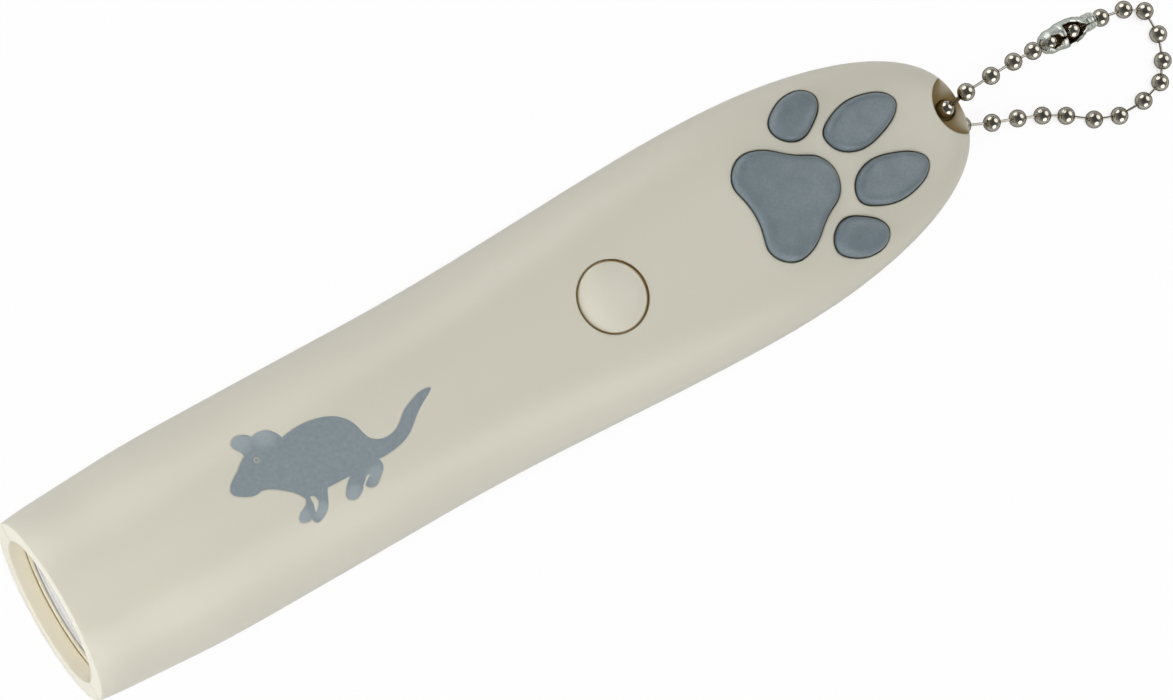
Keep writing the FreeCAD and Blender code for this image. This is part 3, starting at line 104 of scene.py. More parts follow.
def moulded(name, tone, deep_tone, roughness, grain, grain_height, edge, scoop_painted_shade=None, joint_line=False, **sockets):
    """Injection moulded plastic: a slow mottle of two tones, a fine grain from the mould and softened edges.

    The tone given for the eyelet, when there is one, is brown shade painted into the eyelet's scoop where little open
    sky reaches.
    With it come painted shade in the narrow gaps between parts and painted pale tan light in the mouth's bore,
    standing in for light thrown from pale wall to pale wall."""
    material, tree, where = empty_material(name)
    mottle = add(tree, "ShaderNodeTexNoise", {"Vector": where, "Scale": 1 / 30, "Detail": 3.0})
    share = add(tree, "ShaderNodeMapRange", {"Value": mottle.outputs["Fac"], "From Min": 0.2, "From Max": 0.8})
    tint = add(tree, "ShaderNodeMix", {0: share.outputs[0], 6: colour(tone), 7: colour(deep_tone)}, data_type="RGBA")
    skin = add(tree, "ShaderNodeTexNoise", {"Vector": where, "Scale": 1 / grain, "Detail": 2.0})
    softened = add(tree, "ShaderNodeBevel", {"Radius": edge * MM}, samples=6)
    relief = add(tree, "ShaderNodeBump", {
        "Height": skin.outputs["Fac"], "Distance": grain_height * MM, "Normal": softened.outputs[0],
    })
    tint_out, relief_out = tint.outputs[2], relief.outputs[0]
    if scoop_painted_shade:
        # painted shade and light: the less open sky round a point, the more of the painted gap, scoop and bore tones
        # it takes
        along = add(tree, "ShaderNodeSeparateXYZ", {0: where}).outputs[0]
        round_bore = add(tree, "ShaderNodeVectorMath", {0: where, 1: (0.0, 1.0, 1.0)}, operation="MULTIPLY")
        off_axis = add(tree, "ShaderNodeVectorMath", {
            0: round_bore.outputs[0], 1: (0.0, 0.0, MOUTH_RISE),
        }, operation="DISTANCE")
        # the mouth's bore, where pale tan light is painted
        in_bore = add(tree, "ShaderNodeMapRange", {
            "Value": off_axis.outputs["Value"], "From Min": BORE_RADIUS + 0.6, "From Max": BORE_RADIUS + 0.8,
            "To Min": 1.0, "To Max": 0.0,
        })
        in_mouth = add(tree, "ShaderNodeMapRange", {
            "Value": along, "From Min": MOUTH_X + 12, "From Max": MOUTH_X + 20,
            "To Min": in_bore.outputs[0], "To Max": 0.0,
        })
        # near the tail the painted shade turns to the eyelet's darker brown and reaches further
        at_tail = add(tree, "ShaderNodeMapRange", {"Value": along, "From Min": TAIL_X - 8, "From Max": TAIL_X - 6})
        reach = add(tree, "ShaderNodeMapRange", {
            "Value": at_tail.outputs[0], "To Min": 0.8 * MM, "To Max": 8 * MM,
        })
        wider = add(tree, "ShaderNodeMapRange", {
            "Value": in_mouth.outputs[0], "To Min": reach.outputs[0], "To Max": 10 * MM,
        })
        darkest = add(tree, "ShaderNodeMapRange", {"Value": at_tail.outputs[0], "To Min": 0.3, "To Max": 0.6})
        open_sky = add(tree, "ShaderNodeAmbientOcclusion", {"Distance": wider.outputs[0]}, samples=8)
        depth = add(tree, "ShaderNodeMapRange", {
            "Value": open_sky.outputs["AO"], "From Min": darkest.outputs[0], "From Max": 0.9,
            "To Min": 1.0, "To Max": 0.0,
        }, interpolation_type="SMOOTHSTEP")
        scoop = add(tree, "ShaderNodeMix", {
            0: at_tail.outputs[0], 6: colour(PAINTED_GAP_SHADE), 7: colour(scoop_painted_shade),
        }, data_type="RGBA")
        deep = add(tree, "ShaderNodeMix", {
            0: in_mouth.outputs[0], 6: scoop.outputs[2], 7: colour(PAINTED_BORE_LIGHT),
        }, data_type="RGBA")
        # the painted shade and light laid over the plastic's own tint
        painted_shading = add(tree, "ShaderNodeMix", {0: depth.outputs[0], 6: tint_out, 7: deep.outputs[2]}, data_type="RGBA")
        tint_out = painted_shading.outputs[2]
    if joint_line:
        slope = (MOUTH_RISE - TAIL_RISE) / (TAIL_X - MOUTH_X)
        rise = add(tree, "ShaderNodeVectorMath", {0: where, 1: (slope, 0.0, 1.0)}, operation="DOT_PRODUCT")
        level = MOUTH_RISE + slope * MOUTH_X
        above = add(tree, "ShaderNodeMath", {0: rise.outputs["Value"], 1: level}, operation="SUBTRACT")
        off_line = add(tree, "ShaderNodeMath", {0: above.outputs[0]}, operation="ABSOLUTE")
        # the halves meet in a joint about 0.1 mm wide
        groove = add(tree, "ShaderNodeMapRange", {
            "Value": off_line.outputs[0], "From Min": 0.03, "From Max": 0.1, "To Min": 1.0, "To Max": 0.0,
        }, interpolation_type="SMOOTHSTEP")
        joint = add(tree, "ShaderNodeBump", {
            "Height": groove.outputs[0], "Distance": 0.08 * MM, "Normal": relief_out,
        }, invert=True)
        shade = add(tree, "ShaderNodeMath", {0: groove.outputs[0], 1: 0.35}, operation="MULTIPLY")
        lined = add(tree, "ShaderNodeMix", {
            0: shade.outputs[0], 6: tint_out, 7: colour(SEAM_SHADE),
        }, data_type="RGBA")
        tint_out, relief_out = lined.outputs[2], joint.outputs[0]
    wear = add(tree, "ShaderNodeTexNoise", {"Vector": where, "Scale": 1 / 9, "Detail": 4.0})
    gloss = add(tree, "ShaderNodeMapRange", {
        "Value": wear.outputs["Fac"], "To Min": roughness - 0.02, "To Max": roughness + 0.02,
    })
    close(tree, add(tree, "ShaderNodeBsdfPrincipled", {
        "Base Color": tint_out, "Roughness": gloss.outputs[0], "Normal": relief_out, **sockets,
    }))
    return material


def soft_touch(name, tone, speck_tone):
    """Overmoulded soft elastomer: matte, with the 0.25 mm grain of an etched mould that scatters light in specks."""
    material, tree, where = empty_material(name)
    grain = add(tree, "ShaderNodeTexNoise", {"Vector": where, "Scale": 1 / 0.3, "Detail": 2.0, "Roughness": 0.7})
    cloud = add(tree, "ShaderNodeTexNoise", {"Vector": where, "Scale": 1 / 2.5, "Detail": 3.0})
    blotch = add(tree, "ShaderNodeMath", {0: grain.outputs["Fac"], 1: cloud.outputs["Fac"]}, operation="MULTIPLY")
    share = add(tree, "ShaderNodeMapRange", {"Value": blotch.outputs[0], "From Min": 0.12, "From Max": 0.38})
    tint = add(tree, "ShaderNodeMix", {0: share.outputs[0], 6: colour(tone), 7: colour(speck_tone)}, data_type="RGBA")
    softened = add(tree, "ShaderNodeBevel", {"Radius": 0.5 * MM}, samples=6)
    relief = add(tree, "ShaderNodeBump", {
        "Height": grain.outputs["Fac"], "Distance": 0.035 * MM, "Normal": softened.outputs[0],
    })
    close(tree, add(tree, "ShaderNodeBsdfPrincipled", {
        "Base Color": tint.outputs[2], "Roughness": 0.36, "Normal": relief.outputs[0], "IOR": 1.6,
        "Sheen Weight": 0.05, "Sheen Roughness": 0.4,
    }))
    return material


def inlaid_figure():
    """Pad printed and inlaid grey plastic: fine mottle, paler ears and feet, a small eye."""
    material, tree, where = empty_material("grey_inlay")
    grain = add(tree, "ShaderNodeTexNoise", {"Vector": where, "Scale": 1 / 0.5, "Detail": 3.0, "Roughness": 0.65})
    share = add(tree, "ShaderNodeMapRange", {"Value": grain.outputs["Fac"], "From Min": 0.3, "From Max": 0.7})
    tint = add(tree, "ShaderNodeMix", {
        0: share.outputs[0], 6: colour("79858B"), 7: colour("848F95"),
    }, data_type="RGBA").outputs[2]
    flat = add(tree, "ShaderNodeVectorMath", {0: where, 1: (1.0, 1.0, 0.0)}, operation="MULTIPLY")
    # from the mouth, off the middle, and how far the paler tone reaches
    ears_and_feet = ((29.6, 7.0, 1.5), (32.6, 6.0, 1.4), (31.9, -5.1, 0.9), (34.6, -5.6, 0.9), (39.2, -5.6, 0.9),
                     (42.9, -5.0, 1.2))
    for x, y, reach in ears_and_feet:
        far = add(tree, "ShaderNodeVectorMath", {0: flat.outputs[0], 1: (MOUTH_X + x, y, 0.0)}, operation="DISTANCE")
        pale = add(tree, "ShaderNodeMapRange", {
            "Value": far.outputs["Value"], "From Min": 0.5, "From Max": reach + 0.6, "To Min": 0.4, "To Max": 0.0,
        }, interpolation_type="SMOOTHSTEP")
        tint = add(tree, "ShaderNodeMix", {
            0: pale.outputs[0], 6: tint, 7: colour("A3ADB1"),
        }, data_type="RGBA").outputs[2]
    to_eye = add(tree, "ShaderNodeVectorMath", {
        0: flat.outputs[0], 1: (MOUTH_X + 30.2, 3.95, 0.0),
    }, operation="DISTANCE")
    eye = add(tree, "ShaderNodeMath", {0: to_eye.outputs["Value"], 1: 0.3, 2: 0.1}, operation="COMPARE")
    tint = add(tree, "ShaderNodeMix", {0: eye.outputs[0], 6: tint, 7: colour("A39F97")}, data_type="RGBA").outputs[2]
    relief = add(tree, "ShaderNodeBump", {"Height": grain.outputs["Fac"], "Distance": 0.01 * MM})
    close(tree, add(tree, "ShaderNodeBsdfPrincipled", {
        "Base Color": tint, "Roughness": 0.42, "Normal": relief.outputs[0],
    }))
    return material


def plated(name, tone, roughness, dent, dent_height, painted_rim_shade="FFFFFF"):
    """Plated or bright metal: mirror like, with the small dents and rubbed patches of a thing that is handled."""
    material, tree, where = empty_material(name)
    rubbed = add(tree, "ShaderNodeTexNoise", {"Vector": where, "Scale": 1 / 1.2, "Detail": 3.0})
    gloss = add(tree, "ShaderNodeMapRange", {
        "Value": rubbed.outputs["Fac"], "From Min": 0.35, "From Max": 0.7,
        "To Min": roughness, "To Max": roughness * 1.8,
    })
    dents = add(tree, "ShaderNodeTexNoise", {"Vector": where, "Scale": 1 / dent, "Detail": 1.0})
    relief = add(tree, "ShaderNodeBump", {"Height": dents.outputs["Fac"], "Distance": dent_height * MM})
    # an edge tone darker than white paints shade onto the rim, where it darkens the metal's reflections
    close(tree, add(tree, "ShaderNodeBsdfPrincipled", {
        "Base Color": colour(tone), "Metallic": 1.0, "Roughness": gloss.outputs[0], "Normal": relief.outputs[0],
        "Specular Tint": colour(painted_rim_shade),
    }))
    return material


def clear(name, tone, ior, roughness, clarity=1.0):
    """Resin or acrylic, polished, with a trace of flow lines; less clarity makes it milky."""
    material, tree, where = empty_material(name)
    flow = add(tree, "ShaderNodeTexNoise", {"Vector": where, "Scale": 1 / 4, "Detail": 2.0})
    relief = add(tree, "ShaderNodeBump", {"Height": flow.outputs["Fac"], "Distance": 0.01 * MM})
    close(tree, add(tree, "ShaderNodeBsdfPrincipled", {
        "Base Color": colour(tone), "Roughness": roughness, "Normal": relief.outputs[0], "IOR": ior,
        "Transmission Weight": clarity,
    }))
    return material


def banded(name, axis, bands, roughness, base, metallic_beyond=None):
    """A lacquered or sleeved piece whose colours follow each other along one axis, in millimetres."""
    material, tree, where = empty_material(name)
    along = add(tree, "ShaderNodeSeparateXYZ", {0: where}).outputs["XYZ".index(axis)]
    tint = None
    for low, high, tone in bands:
        middle, reach = (low + high) / 2, (high - low) / 2
        inside = add(tree, "ShaderNodeMath", {0: along, 1: middle, 2: reach}, operation="COMPARE")
        tint = add(tree, "ShaderNodeMix", {
            0: inside.outputs[0], 6: colour(base) if tint is None else tint, 7: colour(tone),
        }, data_type="RGBA").outputs[2]
    film = add(tree, "ShaderNodeTexNoise", {"Vector": where, "Scale": 1 / 3, "Detail": 3.0})
    gloss = add(tree, "ShaderNodeMapRange", {
        "Value": film.outputs["Fac"], "To Min": roughness - 0.06, "To Max": roughness + 0.06,
    })
    relief = add(tree, "ShaderNodeBump", {"Height": film.outputs["Fac"], "Distance": 0.02 * MM})
    inputs = {"Base Color": tint, "Roughness": gloss.outputs[0], "Normal": relief.outputs[0]}
    if metallic_beyond:
        middle, reach = metallic_beyond
        within = add(tree, "ShaderNodeMath", {0: along, 1: middle, 2: reach}, operation="COMPARE")
        beyond = add(tree, "ShaderNodeMath", {0: 1.0, 1: within.outputs[0]}, operation="SUBTRACT")
        inputs["Metallic"] = beyond.outputs[0]
    close(tree, add(tree, "ShaderNodeBsdfPrincipled", inputs))
    return material


def solder_mask():
    """Glass epoxy board under green solder mask, with paler copper tracks 0.5 mm wide and tinned pads."""
    material, tree, where = empty_material("board_mask")
    tracks = add(tree, "ShaderNodeTexVoronoi", {"Vector": where, "Scale": 1 / 2.6, "Randomness": 0.55},
                 feature="DISTANCE_TO_EDGE")
    track = add(tree, "ShaderNodeMapRange", {
        "Value": tracks.outputs["Distance"], "From Min": 0.06, "From Max": 0.1, "To Min": 1.0, "To Max": 0.0,
    })
    pads = add(tree, "ShaderNodeTexVoronoi", {"Vector": where, "Scale": 1 / 2.54, "Randomness": 0.0})
    pad = add(tree, "ShaderNodeMath", {0: pads.outputs["Distance"], 1: 0.2}, operation="LESS_THAN")
    masked = add(tree, "ShaderNodeMix", {
        0: track.outputs[0], 6: colour("1B5A38"), 7: colour("2E7B50"),
    }, data_type="RGBA")
    tint = add(tree, "ShaderNodeMix", {
        0: pad.outputs[0], 6: masked.outputs[2], 7: colour("C9C6BC"),
    }, data_type="RGBA")
    relief = add(tree, "ShaderNodeBump", {"Height": track.outputs[0], "Distance": 0.03 * MM})
    close(tree, add(tree, "ShaderNodeBsdfPrincipled", {
        "Base Color": tint.outputs[2], "Metallic": pad.outputs[0], "Roughness": 0.3, "Normal": relief.outputs[0],
    }))
    return material


# The finishes

# ABS of the two halves and the cover, moulded in one cream and lightly glossed: an even, warm pale skin with soft,
# broad highlights, slightly uneven in gloss, with painted brownish shade where two walls face each other and painted
# pale tan light in the mouth's bore.
cream = moulded("cream_abs", "CBC8B9", "C9C6B7", 0.33, 0.35, 0.004, 0.4, PAINTED_EYELET_SHADE, joint_line=True)
# The same ABS from the button's own mould: a touch paler, with crisper edges, and the same painted shade and light in
# its gaps and the bore.
cream_cap = moulded("cream_abs_cap", "D2CFC0", "CECBBC", 0.33, 0.35, 0.004, 0.2, PAINTED_EYELET_SHADE)
# White ABS of the inner mouldings, left as it comes from a fine eroded mould: dull and slightly grainy.
pale_plastic = moulded("white_abs", "DAD8D2", "D2D0C9", 0.45, 0.3, 0.01, 0.2)
# Black ABS of the switch, from a coarser mould: dark grey sheen on the faces, soft edges.
black_plastic = moulded("black_abs", "1D1E20", "26272A", 0.5, 0.25, 0.012, 0.15)
# Soft thermoplastic rubber of the paw grip, moulded against etched steel: matte blue grey with fine light specks.
grip_rubber = soft_touch("grey_soft_touch", "616F75", "707D84")
# Grey ABS of the mouse, let in flush and printed paler on ears and feet: flat, matte and finely mottled.
figure_grey = inlaid_figure()
# Nickel plated steel of the beads: mirror bright and warm in the middle, with painted shade that darkens its
# reflections towards the rim.
nickel = plated("bright_nickel", "C6C1B4", 0.05, 0.9, 0.015, "57524A")
# Nickel plated strip of the clasp, tumbled: pale, slightly green and blurred in its reflections, with painted shade
# darkening them at the rims.
satin_nickel = plated("satin_nickel", "DDE2DA", 0.27, 0.6, 0.02, "A9AEA6")
# The strip's inner face: dull and brownish, with painted shade darkening its reflections at the rims.
strip_inside = plated("nickel_strip_inside", "B89C78", 0.42, 0.6, 0.03, "7A664C")
# Nickel of the link in the eyelet, with the scoop's shade painted into it: dark olive brown, with hardly a highlight.
painted_shade_nickel = plated("nickel_painted_shade", "6F6148", 0.34, 0.6, 0.03, "463C2C")
# Zinc plated steel of the screws: cool grey with a fine, soft shine.
zinc = plated("zinc_plate", "B9BABC", 0.28, 0.3, 0.01)
# Nickel plated spring strip of the battery contacts: bright, with a faint rolled waviness.
contact_metal = plated("nickel_strip", "C9C7BF", 0.2, 0.6, 0.005)
# Etched stainless sheet of the picture mask: dull, even grey.
etched_steel = plated("etched_steel", "8E9092", 0.35, 0.2, 0.01)
# Acrylic of the lens, polished, with the pale milkiness of light spread inside it.
lens_acrylic = clear("lens_acrylic", "D6DBEA", 1.49, 0.03, 0.25)
# Epoxy of the lamp's body, cast clear: glassy, with slight flow lines.
lamp_resin = clear("lamp_resin", "EDF2F5", 1.54, 0.04)
# Glass epoxy board: glossy green with paler tracks and tinned, silvery pads.
board_mask = solder_mask()


def cell_sleeve(name, nub_end, sign):
    """A cell's printed film: dark with a copper coloured band at the nub end, and bare steel at both ends."""
    shoulder = nub_end - sign * 0.9
    foot = nub_end - sign * 44.5
    copper = sorted((shoulder, shoulder - sign * 11.0))
    film = sorted((shoulder - sign * 0.25, foot + sign * 0.25))
    return banded(name, "X", ((copper[0], copper[1], "B4713F"),), 0.3, "2B3138",
                  metallic_beyond=((film[0] + film[1]) / 2, (film[1] - film[0]) / 2))


# Lacquered carbon film resistor: sky blue gloss with four colour rings between its steel caps.
resistor_lacquer = banded("resistor_lacquer", "Y", (
    (-1.15, -0.85, "7A4A22"), (-0.55, -0.25, "1E1E1E"), (0.05, 0.35, "B03A2E"), (0.75, 1.0, "B58B2C"),
    (-2.4, -1.4, "C4C2BC"), (1.4, 2.4, "C4C2BC"),
), 0.3, "6C96B4", metallic_beyond=(0.0, 1.4))
# Soft vinyl sleeves of the two lamp wires, one red and one black: smooth with a dim shine.
wire_sleeves = banded("wire_sleeves", "Y", ((0.0, 6.0, "A8282B"),), 0.4, "202124")

# Printed film of the two cells: dark, glossy, copper coloured at the nub end, with bare steel beyond it.
cell_ends = {}
for name, sign in (("cell_left", 1), ("cell_right", -1)):
    low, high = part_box(name)
    cell_ends[name] = cell_sleeve(name + "_film", (high.x if sign > 0 else low.x) / MM, sign)

FINISHES = {
    "upper_shell": cream, "lower_shell": cream, "battery_cover": cream, "push_button": cream_cap,
    "paw_insert": grip_rubber, "mouse_inlay": figure_grey, "lens": lens_acrylic, "lens_ring": cream_cap,
    "projector_tube": pale_plastic, "picture_mask": etched_steel, "lamp_holder": pale_plastic, "lamp": lamp_resin,
    "lamp_wires": wire_sleeves, "battery_box": pale_plastic, "cell_left": cell_ends["cell_left"],
    "cell_right": cell_ends["cell_right"], "bridge_contact": contact_metal, "terminal_contacts": contact_metal,
    "contact_springs": contact_metal, "circuit_board": board_mask, "switch_body": black_plastic,
    "switch_plunger": black_plastic, "resistor": resistor_lacquer, "cover_screw": zinc, "case_screws": zinc,
    "chain_root_beads": nickel, "chain_root_links": nickel, "chain_beads": nickel, "chain_links": nickel,
    "chain_clasp": nickel,
}
for name, material in FINISHES.items():
    slots = nodes[name].data.materials
    slots.clear()
    slots.append(material)


# Pieces made here

def new_piece(name, mesh):
    piece = bpy.data.objects.new(name, mesh)
    bpy.context.scene.collection.objects.link(piece)
    return piece


def settle(piece, body, replaced=(), material=None):
    """Gives a finished piece its material and its body, and hides the nodes that it stands for."""
    if material:
        piece.data.materials.clear()
        piece.data.materials.append(material)
    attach(piece, body)
    if replaced:
        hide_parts(*replaced)
    return piece


def turned(name, profile, centre, steps=96):
    """A solid turned about an upright axis from (radius, height) pairs in millimetres."""
    shape = bmesh.new()
    rings = []
    for radius, height in profile:
        if radius == 0:
            rings.append([shape.verts.new(centre + spot(0, 0, height))])
            continue
        angles = [2 * math.pi * i / steps for i in range(steps)]
        places = [spot(radius * math.cos(angle), radius * math.sin(angle), height) for angle in angles]
        rings.append([shape.verts.new(centre + place) for place in places])
    for low, high in zip(rings, rings[1:]):
        for i in range(steps):
            j = (i + 1) % steps
            corners = [low[i % len(low)], low[j % len(low)], high[j % len(high)], high[i % len(high)]]
            shape.faces.new(list(dict.fromkeys(corners)))
    bmesh.ops.remove_doubles(shape, verts=shape.verts, dist=0.0001 * MM)
    bmesh.ops.recalc_face_normals(shape, faces=shape.faces)
    mesh = bpy.data.meshes.new(name)
    shape.to_mesh(mesh)
    shape.free()
    mesh.shade_smooth()
    return new_piece(name, mesh)


def button_cap():
    """The push button: a flange, a collar that fills the hole under the groove, a rounded edge and a dome."""
    low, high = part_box("push_button")
    middle = (low + high) / 2
    centre = Vector((middle.x, middle.y, 0))
    foot, crown = low.z / MM, high.z / MM
    cap, flange, flange_top, drop, rounding = 4.72, 5.7, 0.8, 0.7, 0.5
    collar, groove, sink = 4.84, 1.15, 0.05
    profile = [(0, foot), (flange - 0.15, foot), (flange, foot + 0.15), (flange, foot + flange_top - 0.1),
               (flange - 0.1, foot + flange_top), (collar, foot + flange_top), (collar, crown - groove - 0.03),
               (collar - 0.03, crown - groove), (cap, crown - groove)]
    edge = crown - drop
    for i in range(9):
        angle = math.pi / 2 * i / 8
        profile.append((cap - rounding * (1 - math.cos(angle)), edge - rounding * (1 - math.sin(angle))))
    inner = cap - rounding
    for i in range(1, 17):
        share = 1 - i / 16
        profile.append((inner * share, crown - drop * share ** 2.4))
    cap_piece = turned("button_cap", profile, centre)
    # the top follows the slope of the body round it
    for vertex in cap_piece.data.vertices:
        if vertex.co.z > low.z + (flange_top + 0.5) * MM:
            vertex.co.z -= (vertex.co.x - centre.x) * BODY_SLOPE + sink * MM
    return settle(cap_piece, "button", ("push_button",), cream_cap)


button_cap()


def soft_pads():
    """The paw grip with the generous, soft rounding of its pads' edges: fine cells over the solid, smoothed out."""
    source = new_piece("soft_pads_solid", nodes["paw_insert"].data.copy())
    cells = source.modifiers.new("cells", "REMESH")
    cells.mode = "VOXEL"
    cells.voxel_size = 0.25 * MM
    soften = source.modifiers.new("soften", "SMOOTH")
    soften.factor = 0.5
    soften.iterations = 30
    evaluated = source.evaluated_get(bpy.context.evaluated_depsgraph_get())
    mesh = bpy.data.meshes.new_from_object(evaluated)
    source.modifiers.clear()
    bpy.data.objects.remove(source)
    mesh.shade_smooth()
    return settle(new_piece("soft_pads", mesh), "body", ("paw_insert",), grip_rubber)


soft_pads()


# The bead chain. Each place is in millimetres from the tail tip: along, across and above the floor.
EYELET_BEADS = ((-2.29, 0.14, 8.65), (-2.1, -0.6, 4.75))
TURNING_BEADS = ((1.15, 0.76, 8.85), (-0.13, -2.79, 4.1))
LOOP_BEADS = (
    (5.35, 1.02, 8.1),
    (9.2, 1.2, 7.1),
    (12.5, 1.17, 6.1),
    (15.2, 1.15, 5.2),
    (19.05, 1.05, 4.0),
    (23.8, 0.65, 2.3),
    (27.35, 0.1, 1.5),
    (29.85, -1.4, 1.18),
    (29.92, -4.9, 1.18),
    (28.7, -8.2, 1.18),
    (26.95, -10.5, 1.18),
    (23.75, -11.55, 1.18),
    (19.9, -11.7, 1.18),
    (16.65, -10.5, 1.18),
    (13.6, -8.3, 1.18),
    (10.75, -6.75, 1.3),
    (7.45, -5.5, 1.95),
    (3.85, -4.35, 2.9),
)
CLASP_FIRST = 3
BEAD_RADIUS = 1.18
WIRE_RADIUS = 0.17


def chain_place(bead):
    return spot(TAIL_X + bead[0], bead[1], bead[2])


def short_of(start, stop, gap):
    """The place before stop, seen from start, that leaves a gap to the bead there."""
    a, b = chain_place(start), chain_place(stop)
    return b - (b - a).normalized() * (BEAD_RADIUS + gap) * MM


def chain_tree():
    """Beads on the marked points of a line, and a wire along the line."""
    tree = bpy.data.node_groups.new("bead_chain", "GeometryNodeTree")
    tree.interface.new_socket("Line", in_out="INPUT", socket_type="NodeSocketGeometry")
    sizes = (("Bead Radius", BEAD_RADIUS), ("Wire Radius", WIRE_RADIUS), ("Hole Radius", 0.42), ("Hole Depth", 0.14),
             ("Dent", 0.02))
    for name, value in sizes:
        tree.interface.new_socket(name, in_out="INPUT", socket_type="NodeSocketFloat").default_value = value * MM
    tree.interface.new_socket("Seed", in_out="INPUT", socket_type="NodeSocketInt").default_value = 7
    tree.interface.new_socket("Plating", in_out="INPUT", socket_type="NodeSocketMaterial")
    tree.interface.new_socket("Chain", in_out="OUTPUT", socket_type="NodeSocketGeometry")
    given = add(tree, "NodeGroupInput").outputs
    line = add(tree, "GeometryNodeMeshToCurve", {0: given["Line"]})

    ball = add(tree, "GeometryNodeMeshUVSphere", {"Segments": 32, "Rings": 24, "Radius": given["Bead Radius"]})
    here = add(tree, "GeometryNodeInputPosition")
    parts = add(tree, "ShaderNodeSeparateXYZ", {0: here.outputs[0]})
    flat = add(tree, "ShaderNodeCombineXYZ", {0: parts.outputs[0], 1: parts.outputs[1]})
    off_axis = add(tree, "ShaderNodeVectorMath", {0: flat.outputs[0]}, operation="LENGTH")
    sunk = add(tree, "ShaderNodeMapRange", {
        "Value": off_axis.outputs["Value"], "From Min": given["Hole Radius"], "From Max": 0.0,
        "To Min": 0.0, "To Max": given["Hole Depth"],
    }, interpolation_type="SMOOTHSTEP")
    side = add(tree, "ShaderNodeMath", {0: parts.outputs[2]}, operation="SIGN")
    inward = add(tree, "ShaderNodeMath", {0: side.outputs[0], 1: sunk.outputs[0]}, operation="MULTIPLY")
    down = add(tree, "ShaderNodeMath", {0: inward.outputs[0], 1: -1.0}, operation="MULTIPLY")
    push = add(tree, "ShaderNodeCombineXYZ", {2: down.outputs[0]})
    pierced = add(tree, "GeometryNodeSetPosition", {0: ball.outputs["Mesh"], "Offset": push.outputs[0]})
    uneven = add(tree, "ShaderNodeTexNoise", {"Vector": here.outputs[0], "Scale": 1400.0, "Detail": 0.0})
    centred = add(tree, "ShaderNodeMath", {0: uneven.outputs["Fac"], 1: 0.6}, operation="SUBTRACT")
    depth = add(tree, "ShaderNodeMath", {0: centred.outputs[0], 1: given["Dent"]}, operation="MULTIPLY")
    outward = add(tree, "GeometryNodeInputNormal")
    dent = add(tree, "ShaderNodeVectorMath", {0: outward.outputs[0], "Scale": depth.outputs[0]}, operation="SCALE")
    dented = add(tree, "GeometryNodeSetPosition", {0: pierced.outputs[0], "Offset": dent.outputs[0]})

    stops = add(tree, "GeometryNodeCurveToPoints", {0: line.outputs[0]}, mode="EVALUATED")
    marked = add(tree, "GeometryNodeInputNamedAttribute", {"Name": "bead"}, data_type="BOOLEAN")
    aim = add(tree, "FunctionNodeAlignRotationToVector", {"Vector": stops.outputs["Tangent"]}, axis="Z")
    spin = add(tree, "FunctionNodeRandomValue", {"Max": math.tau, "Seed": given["Seed"]}, data_type="FLOAT")
    turn = add(tree, "FunctionNodeAxisAngleToRotation", {"Angle": spin.outputs["Value"]})
    aimed = add(tree, "FunctionNodeRotateRotation", {0: aim.outputs[0], 1: turn.outputs[0]}, rotation_space="LOCAL")
    beads = add(tree, "GeometryNodeInstanceOnPoints", {
        "Points": stops.outputs["Points"], "Selection": marked.outputs[0], "Instance": dented.outputs[0],
        "Rotation": aimed.outputs[0],
    })
    ring = add(tree, "GeometryNodeCurvePrimitiveCircle", {"Resolution": 12, "Radius": given["Wire Radius"]})
    wire = add(tree, "GeometryNodeCurveToMesh", {0: line.outputs[0], 1: ring.outputs[0], "Fill Caps": True})
    both = add(tree, "GeometryNodeJoinGeometry")
    tree.links.new(beads.outputs[0], both.inputs[0])
    tree.links.new(wire.outputs[0], both.inputs[0])
    solid = add(tree, "GeometryNodeRealizeInstances", {0: both.outputs[0]})
    plated_chain = add(tree, "GeometryNodeSetMaterial", {0: solid.outputs[0], "Material": given["Plating"]})
    add(tree, "NodeGroupOutput", {0: plated_chain.outputs[0]})
    return tree


def grown(name, lines, marks, tree, settings):
    """Runs a tree over lines of points and returns its result as a plain mesh object."""
    points, edges = [], []
    for run in lines:
        edges += [(len(points) + i, len(points) + i + 1) for i in range(len(run) - 1)]
        points += run
    mesh = bpy.data.meshes.new(name + "_line")
    mesh.from_pydata(points, edges, [])
    flags = mesh.attributes.new("bead", "BOOLEAN", "POINT")
    flags.data.foreach_set("value", marks)
    source = new_piece(name + "_line", mesh)
    modifier = source.modifiers.new(name, "NODES")
    modifier.node_group = tree
    sockets = {item.name: item.identifier for item in tree.interface.items_tree if item.in_out == "INPUT"}
    for socket, value in settings.items():
        modifier[sockets[socket]] = value
    evaluated = source.evaluated_get(bpy.context.evaluated_depsgraph_get())
    result = bpy.data.meshes.new_from_object(evaluated)
    source.modifiers.clear()
    bpy.data.objects.remove(source)
    result.name = name
    result.shade_smooth()
    return new_piece(name, result)


bead_chain = chain_tree()
eyelet = [chain_place(bead) for bead in EYELET_BEADS]
root_line = [short_of(EYELET_BEADS[0], TURNING_BEADS[0], 0.03)] + eyelet + [
    short_of(EYELET_BEADS[1], TURNING_BEADS[1], 0.03)]
chain_root = grown("eyelet_chain", [root_line], [False, True, True, False], bead_chain, {
    "Plating": nickel, "Seed": 3,
})
settle(chain_root, "chain_root", ("chain_root_beads", "chain_root_links"))
# the thick link stub in the eyelet, in nickel with the scoop's shade painted in
stub_end = short_of(EYELET_BEADS[0], TURNING_BEADS[0], 0.05)
stub = grown("eyelet_stub", [[eyelet[0], stub_end]], [False, False], bead_chain, {
    "Plating": painted_shade_nickel, "Wire Radius": 0.3 * MM,
})
settle(stub, "chain_root")
